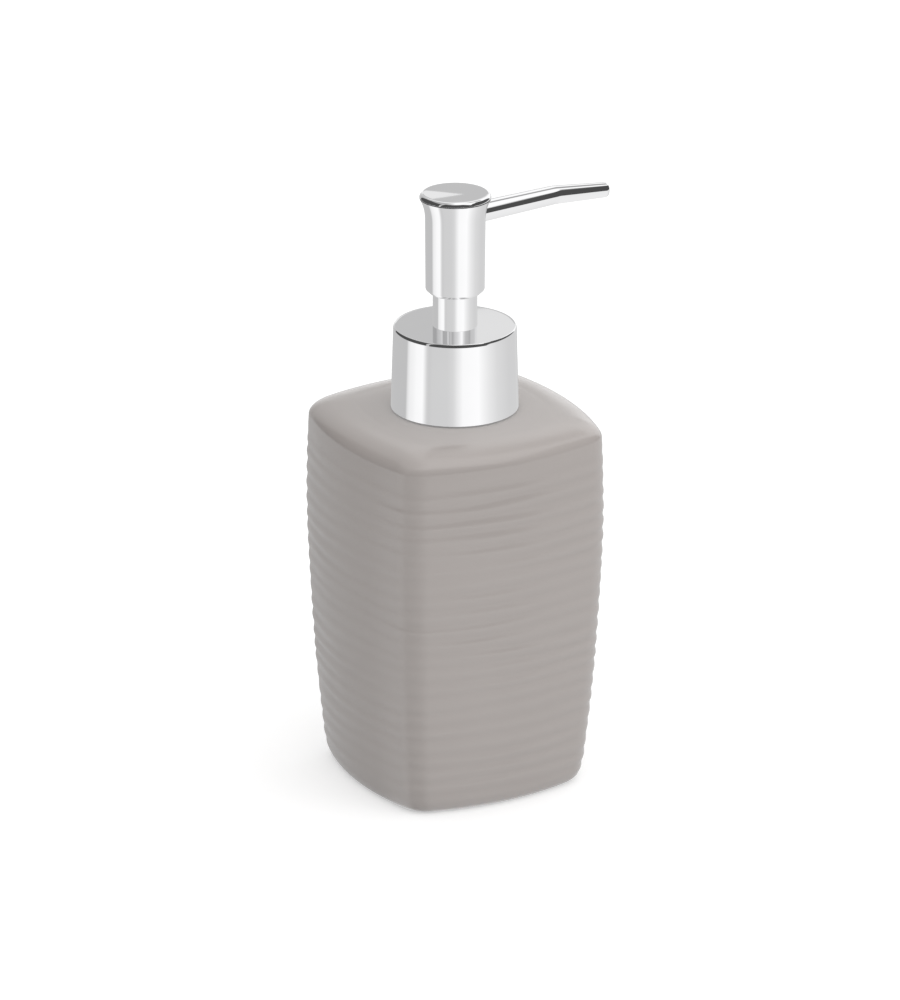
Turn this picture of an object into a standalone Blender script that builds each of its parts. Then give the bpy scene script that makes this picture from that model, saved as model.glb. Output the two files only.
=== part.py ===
"""Soap dispenser: a ribbed, rounded-square ceramic bottle with a chrome lotion pump.

Metres, +Z up. The origin is the middle of the bottle's flat base, on the pump's axis, and the spout
points along +X. Every height is stacked up from the base, so a change of one size carries the pieces
above it along.
"""
import math

import bmesh
import bpy
from mathutils import Matrix, Vector

# Gap kept between two pieces that touch, and how far a cutter runs past what it cuts
GAP = 0.0003
OVERRUN = 0.001

# Points of a turned outline that meet on the axis are joined within this distance
MERGE_DISTANCE = 0.00001

# Bottle
BOTTLE_HEIGHT = 0.1106
BOTTLE_HALF_WIDTH = 0.0372
BOTTLE_WALL = 0.0042
BOTTLE_FLOOR = 0.0052
BASE_EDGE_RADIUS = 0.0022
SHOULDER_DROP = 0.0055
SHOULDER_RUN = 0.0117
SHOULDER_CROWN = 0.00025
LAND_RADIUS = 0.0196
MOUTH_RADIUS = 0.0120
MOUTH_DEPTH = 0.0062
MOUTH_CHAMFER = 0.0004
RIB_COUNT = 22
RIB_DEPTH = 0.0004
RIB_START = 0.0058
RIB_WOBBLE_SHARE = 0.22
# The side view: share of the height against share of the greatest half width
BOTTLE_SIDE_SHARES = [
    (0.00, 0.830), (0.04, 0.872), (0.12, 0.901), (0.30, 0.946),
    (0.50, 0.979), (0.70, 1.000), (0.86, 0.995), (0.95, 0.985),
]
# The plan: radii of the bowed sides and of the corners, as shares of the half width
SIDE_BOW_SHARE = 2.52
CORNER_RADIUS_SHARE = 0.28
SIDE_STEPS = 3
CORNER_STEPS = 4
SHOULDER_STEPS = 5
BASE_EDGE_STEPS = 3
INNER_LEVELS = 7

# Threaded insert glued in the bottle's mouth
INSERT_BORE = 0.0104
INSERT_TUBE_RADIUS = 0.0126
INSERT_FLANGE_RADIUS = 0.0152
INSERT_FLANGE_THICKNESS = 0.0014
INSERT_TUBE_LENGTH = 0.0137
INSERT_SKIRT_LENGTH = 0.0056
THREAD_DEPTH = 0.0011

# Neck gasket
GASKET_THICKNESS = 0.0012
GASKET_BORE = 0.0092

# Collar shell
COLLAR_FOOT_RADIUS = 0.01815
COLLAR_RIM_RADIUS = 0.01745
COLLAR_HEIGHT = 0.0243
COLLAR_WALL = 0.0007
COLLAR_EDGE_RADIUS = 0.0010

# Closure cap inside the collar shell
CAP_PLATE_THICKNESS = 0.0018
CAP_SKIRT_CLEARANCE = 0.0006

# Pump housing
HOUSING_FLANGE_RADIUS = 0.0129
HOUSING_FLANGE_THICKNESS = 0.0015
CYLINDER_RADIUS = 0.0066
CYLINDER_DEPTH = 0.0473
HOUSING_WALL = 0.0010
BALL_CHAMBER_RADIUS = 0.0034
BALL_CHAMBER_DEPTH = 0.0040
BALL_SEAT_DEPTH = 0.0025
INLET_RADIUS = 0.0015
INLET_LENGTH = 0.0010
SOCKET_DEPTH = 0.0095
SOCKET_WALL = 0.0013

# Locking ring
RING_DISC_RADIUS = 0.0093
RING_DISC_THICKNESS = 0.0014
RING_SKIRT_LENGTH = 0.0080
RING_NECK_RADIUS = 0.0055
WIPER_POCKET_RADIUS = 0.0052
WIPER_POCKET_DEPTH = 0.0024

# Guide sleeve
SLEEVE_WALL = 0.0005
SLEEVE_HEADROOM = 0.0006
SLEEVE_NECK_SHORTFALL = 0.0010

# Valve, spring and piston
BALL_RADIUS = 0.0024
CAGE_THICKNESS = 0.0020
CAGE_HOLE_RADIUS = 0.0012
CAGE_SLOT_WIDTH = 0.0010
CAGE_SLOT_LENGTH = 0.0056
SPRING_RADIUS = 0.0046
SPRING_WIRE_RADIUS = 0.00045
SPRING_TURNS = 7
SPRING_POINTS_PER_TURN = 9
STROKE = 0.0095
PISTON_HEIGHT = 0.0079
PISTON_WAIST_RADIUS = 0.0051
PISTON_LIP_HEIGHT = 0.0018
ROD_FLANGE_RADIUS = 0.0056
ROD_FLANGE_THICKNESS = 0.0014
ROD_COLLAR_HEIGHT = 0.0036
ROD_PLUG_LENGTH = 0.0063
ROD_SPIGOT_LENGTH = 0.0040
ROD_SPIGOT_RADIUS = 0.0036
ROD_SLOT_WIDTH = 0.0010
STEM_RADIUS = 0.0032
STEM_BORE = 0.0019
TUBE_RADIUS = 0.0030
TUBE_BORE = 0.0022
TUBE_FLOOR_GAP = 0.0035
TUBE_END_SLANT = math.radians(35)

# Head
HEAD_FLOOR_CLEARANCE = 0.0004
HEAD_HEIGHT = 0.0292
HEAD_LOW_RADIUS = 0.00835
HEAD_HIGH_RADIUS = 0.00850
HEAD_RIM_RADIUS = 0.0101
HEAD_CHAMFER = 0.0010
HEAD_WALL = 0.0008
HEAD_LIP_HEIGHT = 0.0012
HEAD_LIP_CLEARANCE = 0.00035
FLARE_HEIGHT = 0.0062
FLARE_STEPS = 6
HEAD_SEAT_RADIUS = 0.0086
HEAD_SEAT_DEPTH = 0.0008
CAP_DISC_THICKNESS = 0.0017
CAP_EDGE_RADIUS = 0.0015
CORE_HEIGHT = 0.0099
STEM_SOCKET_DEPTH = 0.0040

# Spout
SPOUT_DROP = 0.0069
SPOUT_REACH = 0.0488
SPOUT_BEND_REACH = 0.0330
SPOUT_RISE = 0.0005
SPOUT_FALL = 0.0008
SPOUT_BEND_RADIUS = 0.0150
SPOUT_ROOT_RADIUS = 0.0030
SPOUT_MIDDLE_RADIUS = 0.00275
SPOUT_TIP_RADIUS = 0.0023
SPOUT_WALL = 0.0005
SPOUT_SOCKET_DEPTH = 0.0037
SPOUT_BEND_STEPS = 4

# Facets round a visible piece, a small inner piece and an edge's rounding
ROUND_STEPS = 40
INNER_STEPS = 24
EDGE_STEPS = 3
BALL_STEPS = 16
BALL_RINGS = 10
WIRE_RESOLUTION = 1
SPOUT_RESOLUTION = 6
SHARP_ANGLE = math.radians(35)

# Heights that follow from the sizes above, from the base up
insert_z = BOTTLE_HEIGHT + GAP
insert_top_z = insert_z + INSERT_FLANGE_THICKNESS + INSERT_TUBE_LENGTH
gasket_z = insert_top_z + GAP
flange_z = gasket_z + GASKET_THICKNESS + GAP
flange_top_z = flange_z + HOUSING_FLANGE_THICKNESS
plate_z = flange_top_z + GAP
collar_z = BOTTLE_HEIGHT + GAP
collar_top_z = collar_z + COLLAR_HEIGHT
sleeve_z = collar_top_z + GAP
head_z = collar_top_z + STROKE + HEAD_FLOOR_CLEARANCE
head_top_z = head_z + HEAD_HEIGHT
shell_top_z = head_top_z - CAP_DISC_THICKNESS - GAP
core_top_z = shell_top_z - HEAD_SEAT_DEPTH - GAP
core_z = core_top_z - CORE_HEIGHT
sleeve_top_z = core_z - STROKE - SLEEVE_HEADROOM
spout_z = head_top_z - SPOUT_DROP

# Heights down inside the pump's cylinder
skirt_z = plate_z - RING_SKIRT_LENGTH
piston_z = skirt_z - GAP - PISTON_HEIGHT
rod_flange_z = piston_z - GAP - ROD_FLANGE_THICKNESS
cylinder_floor_z = flange_top_z - CYLINDER_DEPTH
cage_z = cylinder_floor_z + GAP
spring_low_z = cage_z + CAGE_THICKNESS + GAP + SPRING_WIRE_RADIUS
spring_high_z = rod_flange_z - GAP - SPRING_WIRE_RADIUS
seat_low_z = cylinder_floor_z - BALL_CHAMBER_DEPTH - BALL_SEAT_DEPTH
socket_top_z = seat_low_z - INLET_LENGTH
socket_z = socket_top_z - SOCKET_DEPTH
stem_z = piston_z - GAP + ROD_COLLAR_HEIGHT + GAP
stem_top_z = core_z + STEM_SOCKET_DEPTH - GAP
tube_z = BOTTLE_FLOOR + TUBE_FLOOR_GAP
tube_top_z = socket_top_z - GAP

# Radii that follow from a neighbour and a gap
stem_way_radius = STEM_RADIUS + GAP
sleeve_bore = RING_NECK_RADIUS + GAP
sleeve_radius = sleeve_bore + SLEEVE_WALL
housing_radius = CYLINDER_RADIUS + HOUSING_WALL
socket_bore = TUBE_RADIUS + GAP
socket_radius = socket_bore + SOCKET_WALL
head_bore = HEAD_LOW_RADIUS - HEAD_WALL
core_radius = head_bore - GAP
spout_hole_radius = SPOUT_ROOT_RADIUS + GAP
spout_root_x = core_radius - SPOUT_SOCKET_DEPTH + GAP


# Scene, collections and materials

def clear_scene():
    for item in list(bpy.data.objects):
        bpy.data.objects.remove(item, do_unlink=True)


def new_collection(name):
    collection = bpy.data.collections.new(name)
    bpy.context.scene.collection.children.link(collection)
    return collection


def new_material(name, colour, roughness, metallic=0.0, coat=0.0):
    material = bpy.data.materials.new(name)
    material.use_nodes = True
    shader = material.node_tree.nodes["Principled BSDF"]
    shader.inputs["Base Color"].default_value = (*colour, 1.0)
    shader.inputs["Roughness"].default_value = roughness
    shader.inputs["Metallic"].default_value = metallic
    shader.inputs["Coat Weight"].default_value = coat
    material.diffuse_color = (*colour, 1.0)
    return material


clear_scene()
parts = new_collection("soap_dispenser")
cutters = new_collection("cutters")

glazed_ceramic = new_material("glazed_ceramic", (0.40, 0.37, 0.35), 0.22, coat=0.4)
bright_chrome = new_material("bright_chrome", (0.86, 0.86, 0.87), 0.06, metallic=1.0)
white_plastic = new_material("white_plastic", (0.82, 0.82, 0.80), 0.40)
milky_plastic = new_material("milky_plastic", (0.70, 0.72, 0.72), 0.30)
grey_seal = new_material("grey_seal", (0.22, 0.22, 0.23), 0.65)
spring_steel = new_material("spring_steel", (0.55, 0.55, 0.56), 0.30, metallic=1.0)
polished_steel = new_material("polished_steel", (0.68, 0.68, 0.70), 0.10, metallic=1.0)


# Helpers that make one kind of shape each

def add_part(name, mesh, material, parent=None, location=(0, 0, 0), rotation=(0, 0, 0)):
    """Link a mesh as a named part, on its parent's axis."""
    mesh.materials.clear()
    mesh.materials.append(material)
    part = bpy.data.objects.new(name, mesh)
    parts.objects.link(part)
    part.location = location
    part.rotation_euler = rotation
    if parent:
        part.parent = parent
        part.matrix_parent_inverse = Matrix.Translation(-Vector(parent.location))
    return part


def add_axis(name, height):
    """An empty on the pump's axis, which a moving group hangs from."""
    axis = bpy.data.objects.new(name, None)
    axis.empty_display_size = HEAD_RIM_RADIUS
    parts.objects.link(axis)
    axis.location = (0, 0, height)
    return axis


def turned(name, profile, material, parent=None, base_z=0, steps=INNER_STEPS):
    """Turn a closed outline of (radius, height) points round the axis.

    The outline runs down its outer side. A point on the axis is shared by every step.
    """
    mesh = bpy.data.meshes.new(name)
    count = len(profile)
    on_axis = profile[0][0] == 0 and profile[-1][0] == 0
    edges = [(i, i + 1) for i in range(count - 1)]
    if not on_axis:
        edges.append((count - 1, 0))
    mesh.from_pydata([(radius, 0, height) for radius, height in profile], edges, [])
    part = add_part(name, mesh, material, parent, (0, 0, base_z))
    screw = part.modifiers.new("turn", "SCREW")
    screw.steps = steps
    screw.render_steps = steps
    screw.use_merge_vertices = True
    screw.merge_threshold = MERGE_DISTANCE
    screw.use_smooth_shade = True
    return part


def rounded_corner(centre_radius, centre_height, radius, start, end, steps=EDGE_STEPS):
    """Points of an arc in an outline, with angles from the outward direction."""
    points = []
    for i in range(steps + 1):
        angle = start + (end - start) * i / steps
        points.append((centre_radius + radius * math.cos(angle),
                       centre_height + radius * math.sin(angle)))
    return points


def add_cutter(name, mesh, matrix):
    cutter = bpy.data.objects.new(name, mesh)
    cutters.objects.link(cutter)
    cutter.matrix_world = matrix
    cutter.hide_render = True
    cutter.display_type = "WIRE"
    return cutter


def rod_cutter(name, start, end, radius, steps=INNER_STEPS):
    """A cylinder between two points."""
    run = Vector(end) - Vector(start)
    mesh = bpy.data.meshes.new(name)
    shape = bmesh.new()
    bmesh.ops.create_cone(shape, cap_ends=True, segments=steps, radius1=radius, radius2=radius,
                          depth=run.length)
    shape.to_mesh(mesh)
    shape.free()
    middle = (Vector(start) + Vector(end)) / 2
    turn = run.to_track_quat("Z", "Y").to_matrix().to_4x4()
    return add_cutter(name, mesh, Matrix.Translation(middle) @ turn)


def box_cutter(name, centre, size, turn=Matrix.Identity(4)):
    mesh = bpy.data.meshes.new(name)
    shape = bmesh.new()
    bmesh.ops.create_cube(shape, size=1)
    bmesh.ops.scale(shape, vec=size, verts=shape.verts)
    shape.to_mesh(mesh)
    shape.free()
    return add_cutter(name, mesh, Matrix.Translation(centre) @ turn)


def cut(part, cutter):
    boolean = part.modifiers.new(cutter.name, "BOOLEAN")
    boolean.operation = "DIFFERENCE"
    boolean.solver = "EXACT"
    boolean.object = cutter


# Bottle

def side_share(height_share):
    """Half width share at a height share, on a smooth curve through the side view's points."""
    table = BOTTLE_SIDE_SHARES
    if height_share >= table[-1][0]:
        return table[-1][1]
    i = max(k for k in range(len(table) - 1) if table[k][0] <= height_share)
    low, high = table[i], table[i + 1]
    before = table[max(i - 1, 0)]
    after = table[min(i + 2, len(table) - 1)]
    span = high[0] - low[0]
    t = (height_share - low[0]) / span
    slope_low = (high[1] - before[1]) / (high[0] - before[0]) * span
    slope_high = (after[1] - low[1]) / (after[0] - low[0]) * span
    return ((2 * t**3 - 3 * t**2 + 1) * low[1] + (t**3 - 2 * t**2 + t) * slope_low
            + (3 * t**2 - 2 * t**3) * high[1] + (t**3 - t**2) * slope_high)


def half_width_at(height):
    return BOTTLE_HALF_WIDTH * side_share(max(height, 0) / BOTTLE_HEIGHT)


def plan_outline():
    """The bottle's plan for a half width of 1: bowed sides that run into round corners."""
    bow = SIDE_BOW_SHARE
    corner = CORNER_RADIUS_SHARE
    bow_centre = 1 - bow
    reach = bow - corner
    corner_centre = (bow_centre + math.sqrt(2 * reach**2 - bow_centre**2)) / 2
    join = math.atan2(corner_centre, corner_centre - bow_centre)
    quarter = []
    for i in range(SIDE_STEPS):
        angle = join * i / SIDE_STEPS
        quarter.append((bow_centre + bow * math.cos(angle), bow * math.sin(angle)))
    for i in range(CORNER_STEPS + 1):
        angle = join + (math.pi / 2 - 2 * join) * i / CORNER_STEPS
        quarter.append((corner_centre + corner * math.cos(angle),
                        corner_centre + corner * math.sin(angle)))
    for i in range(1, SIDE_STEPS):
        angle = math.pi / 2 - join * (1 - i / SIDE_STEPS)
        quarter.append((bow * math.cos(angle), bow_centre + bow * math.sin(angle)))
    outline = []
    for turn in range(4):
        spin = Matrix.Rotation(turn * math.pi / 2, 2)
        outline += [spin @ Vector(point) for point in quarter]
    return outline


def bottle_levels():
    """Rings of the bottle's skin as (height, half width, roundness), from the base's edge up the
    outside, over the shoulder, down the mouth and on down the inside to the floor."""
    levels = []
    edge = BASE_EDGE_RADIUS
    for i in range(BASE_EDGE_STEPS + 1):
        angle = math.pi / 2 * i / BASE_EDGE_STEPS
        height = edge - edge * math.cos(angle)
        levels.append((height, half_width_at(height) - edge * (1 - math.sin(angle)), 0))
    shoulder_z = BOTTLE_HEIGHT - SHOULDER_CROWN - SHOULDER_DROP
    shoulder_width = half_width_at(shoulder_z)
    rib_pitch = (shoulder_z - RIB_START) / (2 * RIB_COUNT)
    for i in range(2 * RIB_COUNT):
        wobble = RIB_WOBBLE_SHARE * math.sin(i * i)
        height = RIB_START + rib_pitch * (i + wobble)
        side = 1 if i % 2 else -1
        levels.append((height, half_width_at(height) + side * RIB_DEPTH / 2, 0))
    for i in range(SHOULDER_STEPS + 1):
        angle = math.pi / 2 * i / SHOULDER_STEPS
        levels.append((shoulder_z + SHOULDER_DROP * math.sin(angle),
                       shoulder_width - SHOULDER_RUN * (1 - math.cos(angle)), 0))
    levels.append((BOTTLE_HEIGHT, LAND_RADIUS, 1))
    levels.append((BOTTLE_HEIGHT, MOUTH_RADIUS + MOUTH_CHAMFER, 1))
    levels.append((BOTTLE_HEIGHT - MOUTH_CHAMFER, MOUTH_RADIUS, 1))
    mouth_low_z = BOTTLE_HEIGHT - MOUTH_DEPTH
    levels.append((mouth_low_z, MOUTH_RADIUS, 1))
    inner_top_width = shoulder_width - BOTTLE_WALL
    inner_top_z = shoulder_z - SHOULDER_DROP
    for i in range(1, SHOULDER_STEPS):
        angle = math.pi / 2 * (1 - i / SHOULDER_STEPS)
        run = inner_top_width - MOUTH_RADIUS
        levels.append((inner_top_z + (mouth_low_z - inner_top_z) * math.sin(angle),
                       MOUTH_RADIUS + run * math.cos(angle), 1 - i / SHOULDER_STEPS))
    inner_low_z = BOTTLE_FLOOR + BOTTLE_WALL
    for i in range(INNER_LEVELS + 1):
        height = inner_top_z + (inner_low_z - inner_top_z) * i / INNER_LEVELS
        levels.append((height, half_width_at(height) - BOTTLE_WALL, 0))
    for i in range(1, BASE_EDGE_STEPS + 1):
        angle = math.pi / 2 * i / BASE_EDGE_STEPS
        levels.append((inner_low_z - BOTTLE_WALL * math.sin(angle),
                       half_width_at(inner_low_z) - BOTTLE_WALL * (2 - math.cos(angle)), 0))
    return levels


def make_bottle():
    """One skin lofted through rings that change from the rounded square to the round mouth."""
    outline = plan_outline()
    shape = bmesh.new()
    rings = []
    for height, half_width, roundness in bottle_levels():
        ring = []
        for point in outline:
            place = point.lerp(point.normalized(), roundness) * half_width
            ring.append(shape.verts.new((place.x, place.y, height)))
        rings.append(ring)
    count = len(outline)
    for low, high in zip(rings, rings[1:]):
        for i in range(count):
            j = (i + 1) % count
            shape.faces.new((low[i], low[j], high[j], high[i]))
    shape.faces.new(list(reversed(rings[0])))
    shape.faces.new(rings[-1])
    mesh = bpy.data.meshes.new("bottle")
    shape.to_mesh(mesh)
    shape.free()
    return add_part("bottle", mesh, glazed_ceramic)


def make_threaded_neck():
    """The insert: a skirt glued in the mouth, a flange on the land and a tube for the thread."""
    skirt_radius = MOUTH_RADIUS - GAP
    top = INSERT_FLANGE_THICKNESS + INSERT_TUBE_LENGTH
    low = -INSERT_SKIRT_LENGTH
    chamfer = THREAD_DEPTH / 2
    profile = [
        (INSERT_BORE, top), (INSERT_TUBE_RADIUS - chamfer, top),
        (INSERT_TUBE_RADIUS, top - chamfer), (INSERT_TUBE_RADIUS, INSERT_FLANGE_THICKNESS),
        (INSERT_FLANGE_RADIUS, INSERT_FLANGE_THICKNESS), (INSERT_FLANGE_RADIUS, 0),
        (skirt_radius, 0), (skirt_radius, low + chamfer), (skirt_radius - chamfer, low),
        (INSERT_BORE, low),
    ]
    return turned("threaded_neck", profile, white_plastic, base_z=insert_z)


# The pump's fixed pieces

def make_neck_gasket(pump):
    profile = [(GASKET_BORE, GASKET_THICKNESS), (INSERT_TUBE_RADIUS, GASKET_THICKNESS),
               (INSERT_TUBE_RADIUS, 0), (GASKET_BORE, 0)]
    return turned("neck_gasket", profile, grey_seal, pump, gasket_z)


def make_pump_housing(pump):
    """A flanged cylinder that narrows to the ball's chamber, its seat and the tube's socket."""
    top = flange_top_z - socket_z
    under_flange = top - HOUSING_FLANGE_THICKNESS
    floor = cylinder_floor_z - socket_z
    chamber_low = floor - BALL_CHAMBER_DEPTH
    seat_low = chamber_low - BALL_SEAT_DEPTH
    profile = [
        (CYLINDER_RADIUS, top), (HOUSING_FLANGE_RADIUS, top),
        (HOUSING_FLANGE_RADIUS, under_flange), (housing_radius, under_flange),
        (housing_radius, floor), (socket_radius, chamber_low), (socket_radius, 0),
        (socket_bore, 0), (socket_bore, SOCKET_DEPTH), (INLET_RADIUS, SOCKET_DEPTH),
        (INLET_RADIUS, seat_low), (BALL_CHAMBER_RADIUS, chamber_low),
        (BALL_CHAMBER_RADIUS, floor), (CYLINDER_RADIUS, floor),
    ]
    return turned("pump_housing", profile, milky_plastic, pump, socket_z)


def make_locking_ring(pump):
    """The ring that closes the cylinder, guides the stem and carries the chrome sleeve."""
    disc_low = RING_SKIRT_LENGTH
    disc_top = disc_low + RING_DISC_THICKNESS
    neck_top = sleeve_top_z - SLEEVE_NECK_SHORTFALL - skirt_z
    skirt_radius = CYLINDER_RADIUS - GAP
    chamfer = SLEEVE_WALL
    profile = [
        (stem_way_radius, neck_top), (RING_NECK_RADIUS - chamfer, neck_top),
        (RING_NECK_RADIUS, neck_top - chamfer), (RING_NECK_RADIUS, disc_top),
        (RING_DISC_RADIUS, disc_top), (RING_DISC_RADIUS, disc_low),
        (skirt_radius, disc_low), (skirt_radius, 0), (WIPER_POCKET_RADIUS, 0),
        (WIPER_POCKET_RADIUS, WIPER_POCKET_DEPTH), (stem_way_radius, WIPER_POCKET_DEPTH),
    ]
    return turned("locking_ring", profile, white_plastic, pump, skirt_z)


def make_guide_sleeve(pump):
    height = sleeve_top_z - sleeve_z
    edge = SLEEVE_WALL / 2
    profile = [
        (sleeve_bore, height), (sleeve_radius - edge, height), (sleeve_radius, height - edge),
        (sleeve_radius, edge), (sleeve_radius - edge, 0), (sleeve_bore, 0),
    ]
    return turned("guide_sleeve", profile, bright_chrome, pump, sleeve_z, ROUND_STEPS)


def make_stem_wiper(pump):
    """A seal with a thin lip against the stem, in the pocket under the locking ring."""
    outer = WIPER_POCKET_RADIUS - GAP
    inner = stem_way_radius
    height = WIPER_POCKET_DEPTH - 2 * GAP
    lip = (outer - inner) / 3
    profile = [(inner, height), (inner + lip, height), (inner + lip, height / 2),
               (outer - lip, height / 2), (outer - lip, height), (outer, height),
               (outer, 0), (inner, 0)]
    return turned("stem_wiper", profile, grey_seal, pump, skirt_z + GAP)


def make_ball_cage(pump):
    """The spring's lower seat, with a cross of slots that the ball can't close."""
    outer = CYLINDER_RADIUS - GAP
    profile = [(CAGE_HOLE_RADIUS, CAGE_THICKNESS), (outer, CAGE_THICKNESS), (outer, 0),
               (CAGE_HOLE_RADIUS, 0)]
    cage = turned("ball_cage", profile, white_plastic, pump, cage_z)
    middle = (0, 0, cage_z + CAGE_THICKNESS / 2)
    depth = CAGE_THICKNESS + 2 * OVERRUN
    cut(cage, box_cutter("cage_slot_x", middle, (CAGE_SLOT_LENGTH, CAGE_SLOT_WIDTH, depth)))
    cut(cage, box_cutter("cage_slot_y", middle, (CAGE_SLOT_WIDTH, CAGE_SLOT_LENGTH, depth)))
    return cage


def make_dip_tube(pump):
    """The suction tube, with its lower end cut on a slant so that it can't seal on the floor."""
    height = tube_top_z - tube_z
    profile = [(TUBE_BORE, height), (TUBE_RADIUS, height), (TUBE_RADIUS, 0), (TUBE_BORE, 0)]
    tube = turned("dip_tube", profile, milky_plastic, pump, tube_z)
    side = TUBE_RADIUS * 4
    turn = Matrix.Rotation(TUBE_END_SLANT, 4, "Y")
    drop = turn @ Vector((0, 0, -side / 2))
    lift = TUBE_RADIUS * math.tan(TUBE_END_SLANT)
    centre = Vector((0, 0, tube_z + lift)) + drop
    cut(tube, box_cutter("tube_end", centre, (side, side, side), turn))
    return tube


def spring_points():
    """Centre line of the wire: an even coil whose ends run on straight for one wire diameter."""
    count = SPRING_TURNS * SPRING_POINTS_PER_TURN
    points = []
    for i in range(count + 1):
        angle = 2 * math.pi * i / SPRING_POINTS_PER_TURN
        points.append(Vector((SPRING_RADIUS * math.cos(angle), SPRING_RADIUS * math.sin(angle),
                              spring_low_z + (spring_high_z - spring_low_z) * i / count)))
    wire = 2 * SPRING_WIRE_RADIUS
    first = Vector((SPRING_RADIUS, -wire, spring_low_z))
    last_angle = 2 * math.pi * SPRING_TURNS
    ahead = Vector((-math.sin(last_angle), math.cos(last_angle), 0))
    return [first] + points + [points[-1] + ahead * wire]


def least_coil_gap(points):
    """The smallest clear distance between one turn of the wire and the next."""
    turn = SPRING_POINTS_PER_TURN
    nearest = min((a - b).length for i, a in enumerate(points)
                  for b in points[i + turn - 1:i + turn + 2])
    return nearest - 2 * SPRING_WIRE_RADIUS


def swept(name, points, radii, bevel_radius, resolution, caps):
    """A round tube along points, as a mesh with its ends welded."""
    curve = bpy.data.curves.new(name, "CURVE")
    curve.dimensions = "3D"
    curve.bevel_depth = bevel_radius
    curve.bevel_resolution = resolution
    curve.use_fill_caps = caps
    curve.resolution_u = 1
    curve.render_resolution_u = 0
    spline = curve.splines.new("POLY")
    spline.points.add(len(points) - 1)
    for item, point, radius in zip(spline.points, points, radii):
        item.co = (*point, 1)
        item.radius = radius
    sweep = bpy.data.objects.new(name + "_sweep", curve)
    cutters.objects.link(sweep)
    bpy.context.view_layer.update()
    seen = sweep.evaluated_get(bpy.context.evaluated_depsgraph_get())
    mesh = bpy.data.meshes.new_from_object(seen)
    bpy.data.objects.remove(sweep, do_unlink=True)
    shape = bmesh.new()
    shape.from_mesh(mesh)
    bmesh.ops.remove_doubles(shape, verts=shape.verts, dist=bevel_radius / 1000)
    bmesh.ops.recalc_face_normals(shape, faces=shape.faces)
    shape.to_mesh(mesh)
    shape.free()
    return mesh


def make_return_spring(pump):
    points = spring_points()
    print("return spring: least gap between turns", round(least_coil_gap(points), 6))
    radii = [1] * len(points)
    mesh = swept("return_spring", points, radii, SPRING_WIRE_RADIUS, WIRE_RESOLUTION, True)
    return add_part("return_spring", mesh, spring_steel, pump)


# The pieces that move in the pump

def ball_rest_height():
    """Height of the ball's centre, a gap clear of its seat's cone."""
    slope = math.atan2(BALL_CHAMBER_RADIUS - INLET_RADIUS, BALL_SEAT_DEPTH)
    apex_z = seat_low_z - INLET_RADIUS / math.tan(slope)
    return apex_z + (BALL_RADIUS + GAP) / math.sin(slope)


def make_inlet_ball(valve):
    mesh = bpy.data.meshes.new("inlet_ball")
    shape = bmesh.new()
    bmesh.ops.create_uvsphere(shape, u_segments=BALL_STEPS, v_segments=BALL_RINGS,
                              radius=BALL_RADIUS)
    shape.to_mesh(mesh)
    shape.free()
    return add_part("inlet_ball", mesh, polished_steel, valve, (0, 0, ball_rest_height()))


def make_piston(plunger):
    """The soft ring: a waist between two lips that press on the cylinder's wall."""
    outer = CYLINDER_RADIUS - GAP
    inner = stem_way_radius
    lip = PISTON_LIP_HEIGHT
    thin = (outer - PISTON_WAIST_RADIUS) / 2
    top = PISTON_HEIGHT
    profile = [
        (inner, top - lip / 2), (PISTON_WAIST_RADIUS, top - lip / 2), (outer - thin, top),
        (outer, top), (outer, top - lip / 2), (PISTON_WAIST_RADIUS, top - 2 * lip),
        (PISTON_WAIST_RADIUS, 2 * lip), (outer, lip / 2), (outer, 0), (outer - thin, 0),
        (PISTON_WAIST_RADIUS, lip / 2), (inner, lip / 2),
    ]
    return turned("piston", profile, milky_plastic, plunger, piston_z)


def make_piston_rod(head):
    """The plug under the piston: a spring guide, a flange and a split pin inside the stem."""
    flange_low = ROD_SPIGOT_LENGTH
    flange_top = flange_low + ROD_FLANGE_THICKNESS
    collar_top = flange_top + ROD_COLLAR_HEIGHT
    top = collar_top + ROD_PLUG_LENGTH
    collar_radius = STEM_RADIUS - GAP
    plug_radius = STEM_BORE - GAP
    profile = [
        (0, top), (plug_radius, top), (plug_radius, collar_top), (collar_radius, collar_top),
        (collar_radius, flange_top), (ROD_FLANGE_RADIUS, flange_top),
        (ROD_FLANGE_RADIUS, flange_low), (ROD_SPIGOT_RADIUS, flange_low),
        (ROD_SPIGOT_RADIUS - ROD_FLANGE_THICKNESS, 0), (0, 0),
    ]
    base_z = rod_flange_z - ROD_SPIGOT_LENGTH
    rod = turned("piston_rod", profile, white_plastic, head, base_z)
    slot_low = base_z + flange_top + GAP
    slot_high = base_z + top + OVERRUN
    centre = (0, 0, (slot_low + slot_high) / 2)
    size = (2 * collar_radius + 2 * OVERRUN, ROD_SLOT_WIDTH, slot_high - slot_low)
    cut(rod, box_cutter("rod_slot", centre, size))
    return rod


def make_stem(head):
    height = stem_top_z - stem_z
    profile = [(STEM_BORE, height), (STEM_RADIUS, height), (STEM_RADIUS, 0), (STEM_BORE, 0)]
    return turned("stem", profile, white_plastic, head, stem_z)


def flare_points():
    """The head's hollow flare, from the rim down to the straight body."""
    points = []
    rim_z = shell_top_z - head_z
    rise = HEAD_RIM_RADIUS - HEAD_HIGH_RADIUS
    for i in range(FLARE_STEPS + 1):
        share = i / FLARE_STEPS
        radius = HEAD_HIGH_RADIUS + rise * (1 - share)**3
        points.append((radius, rim_z - FLARE_HEIGHT * share))
    return points


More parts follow.
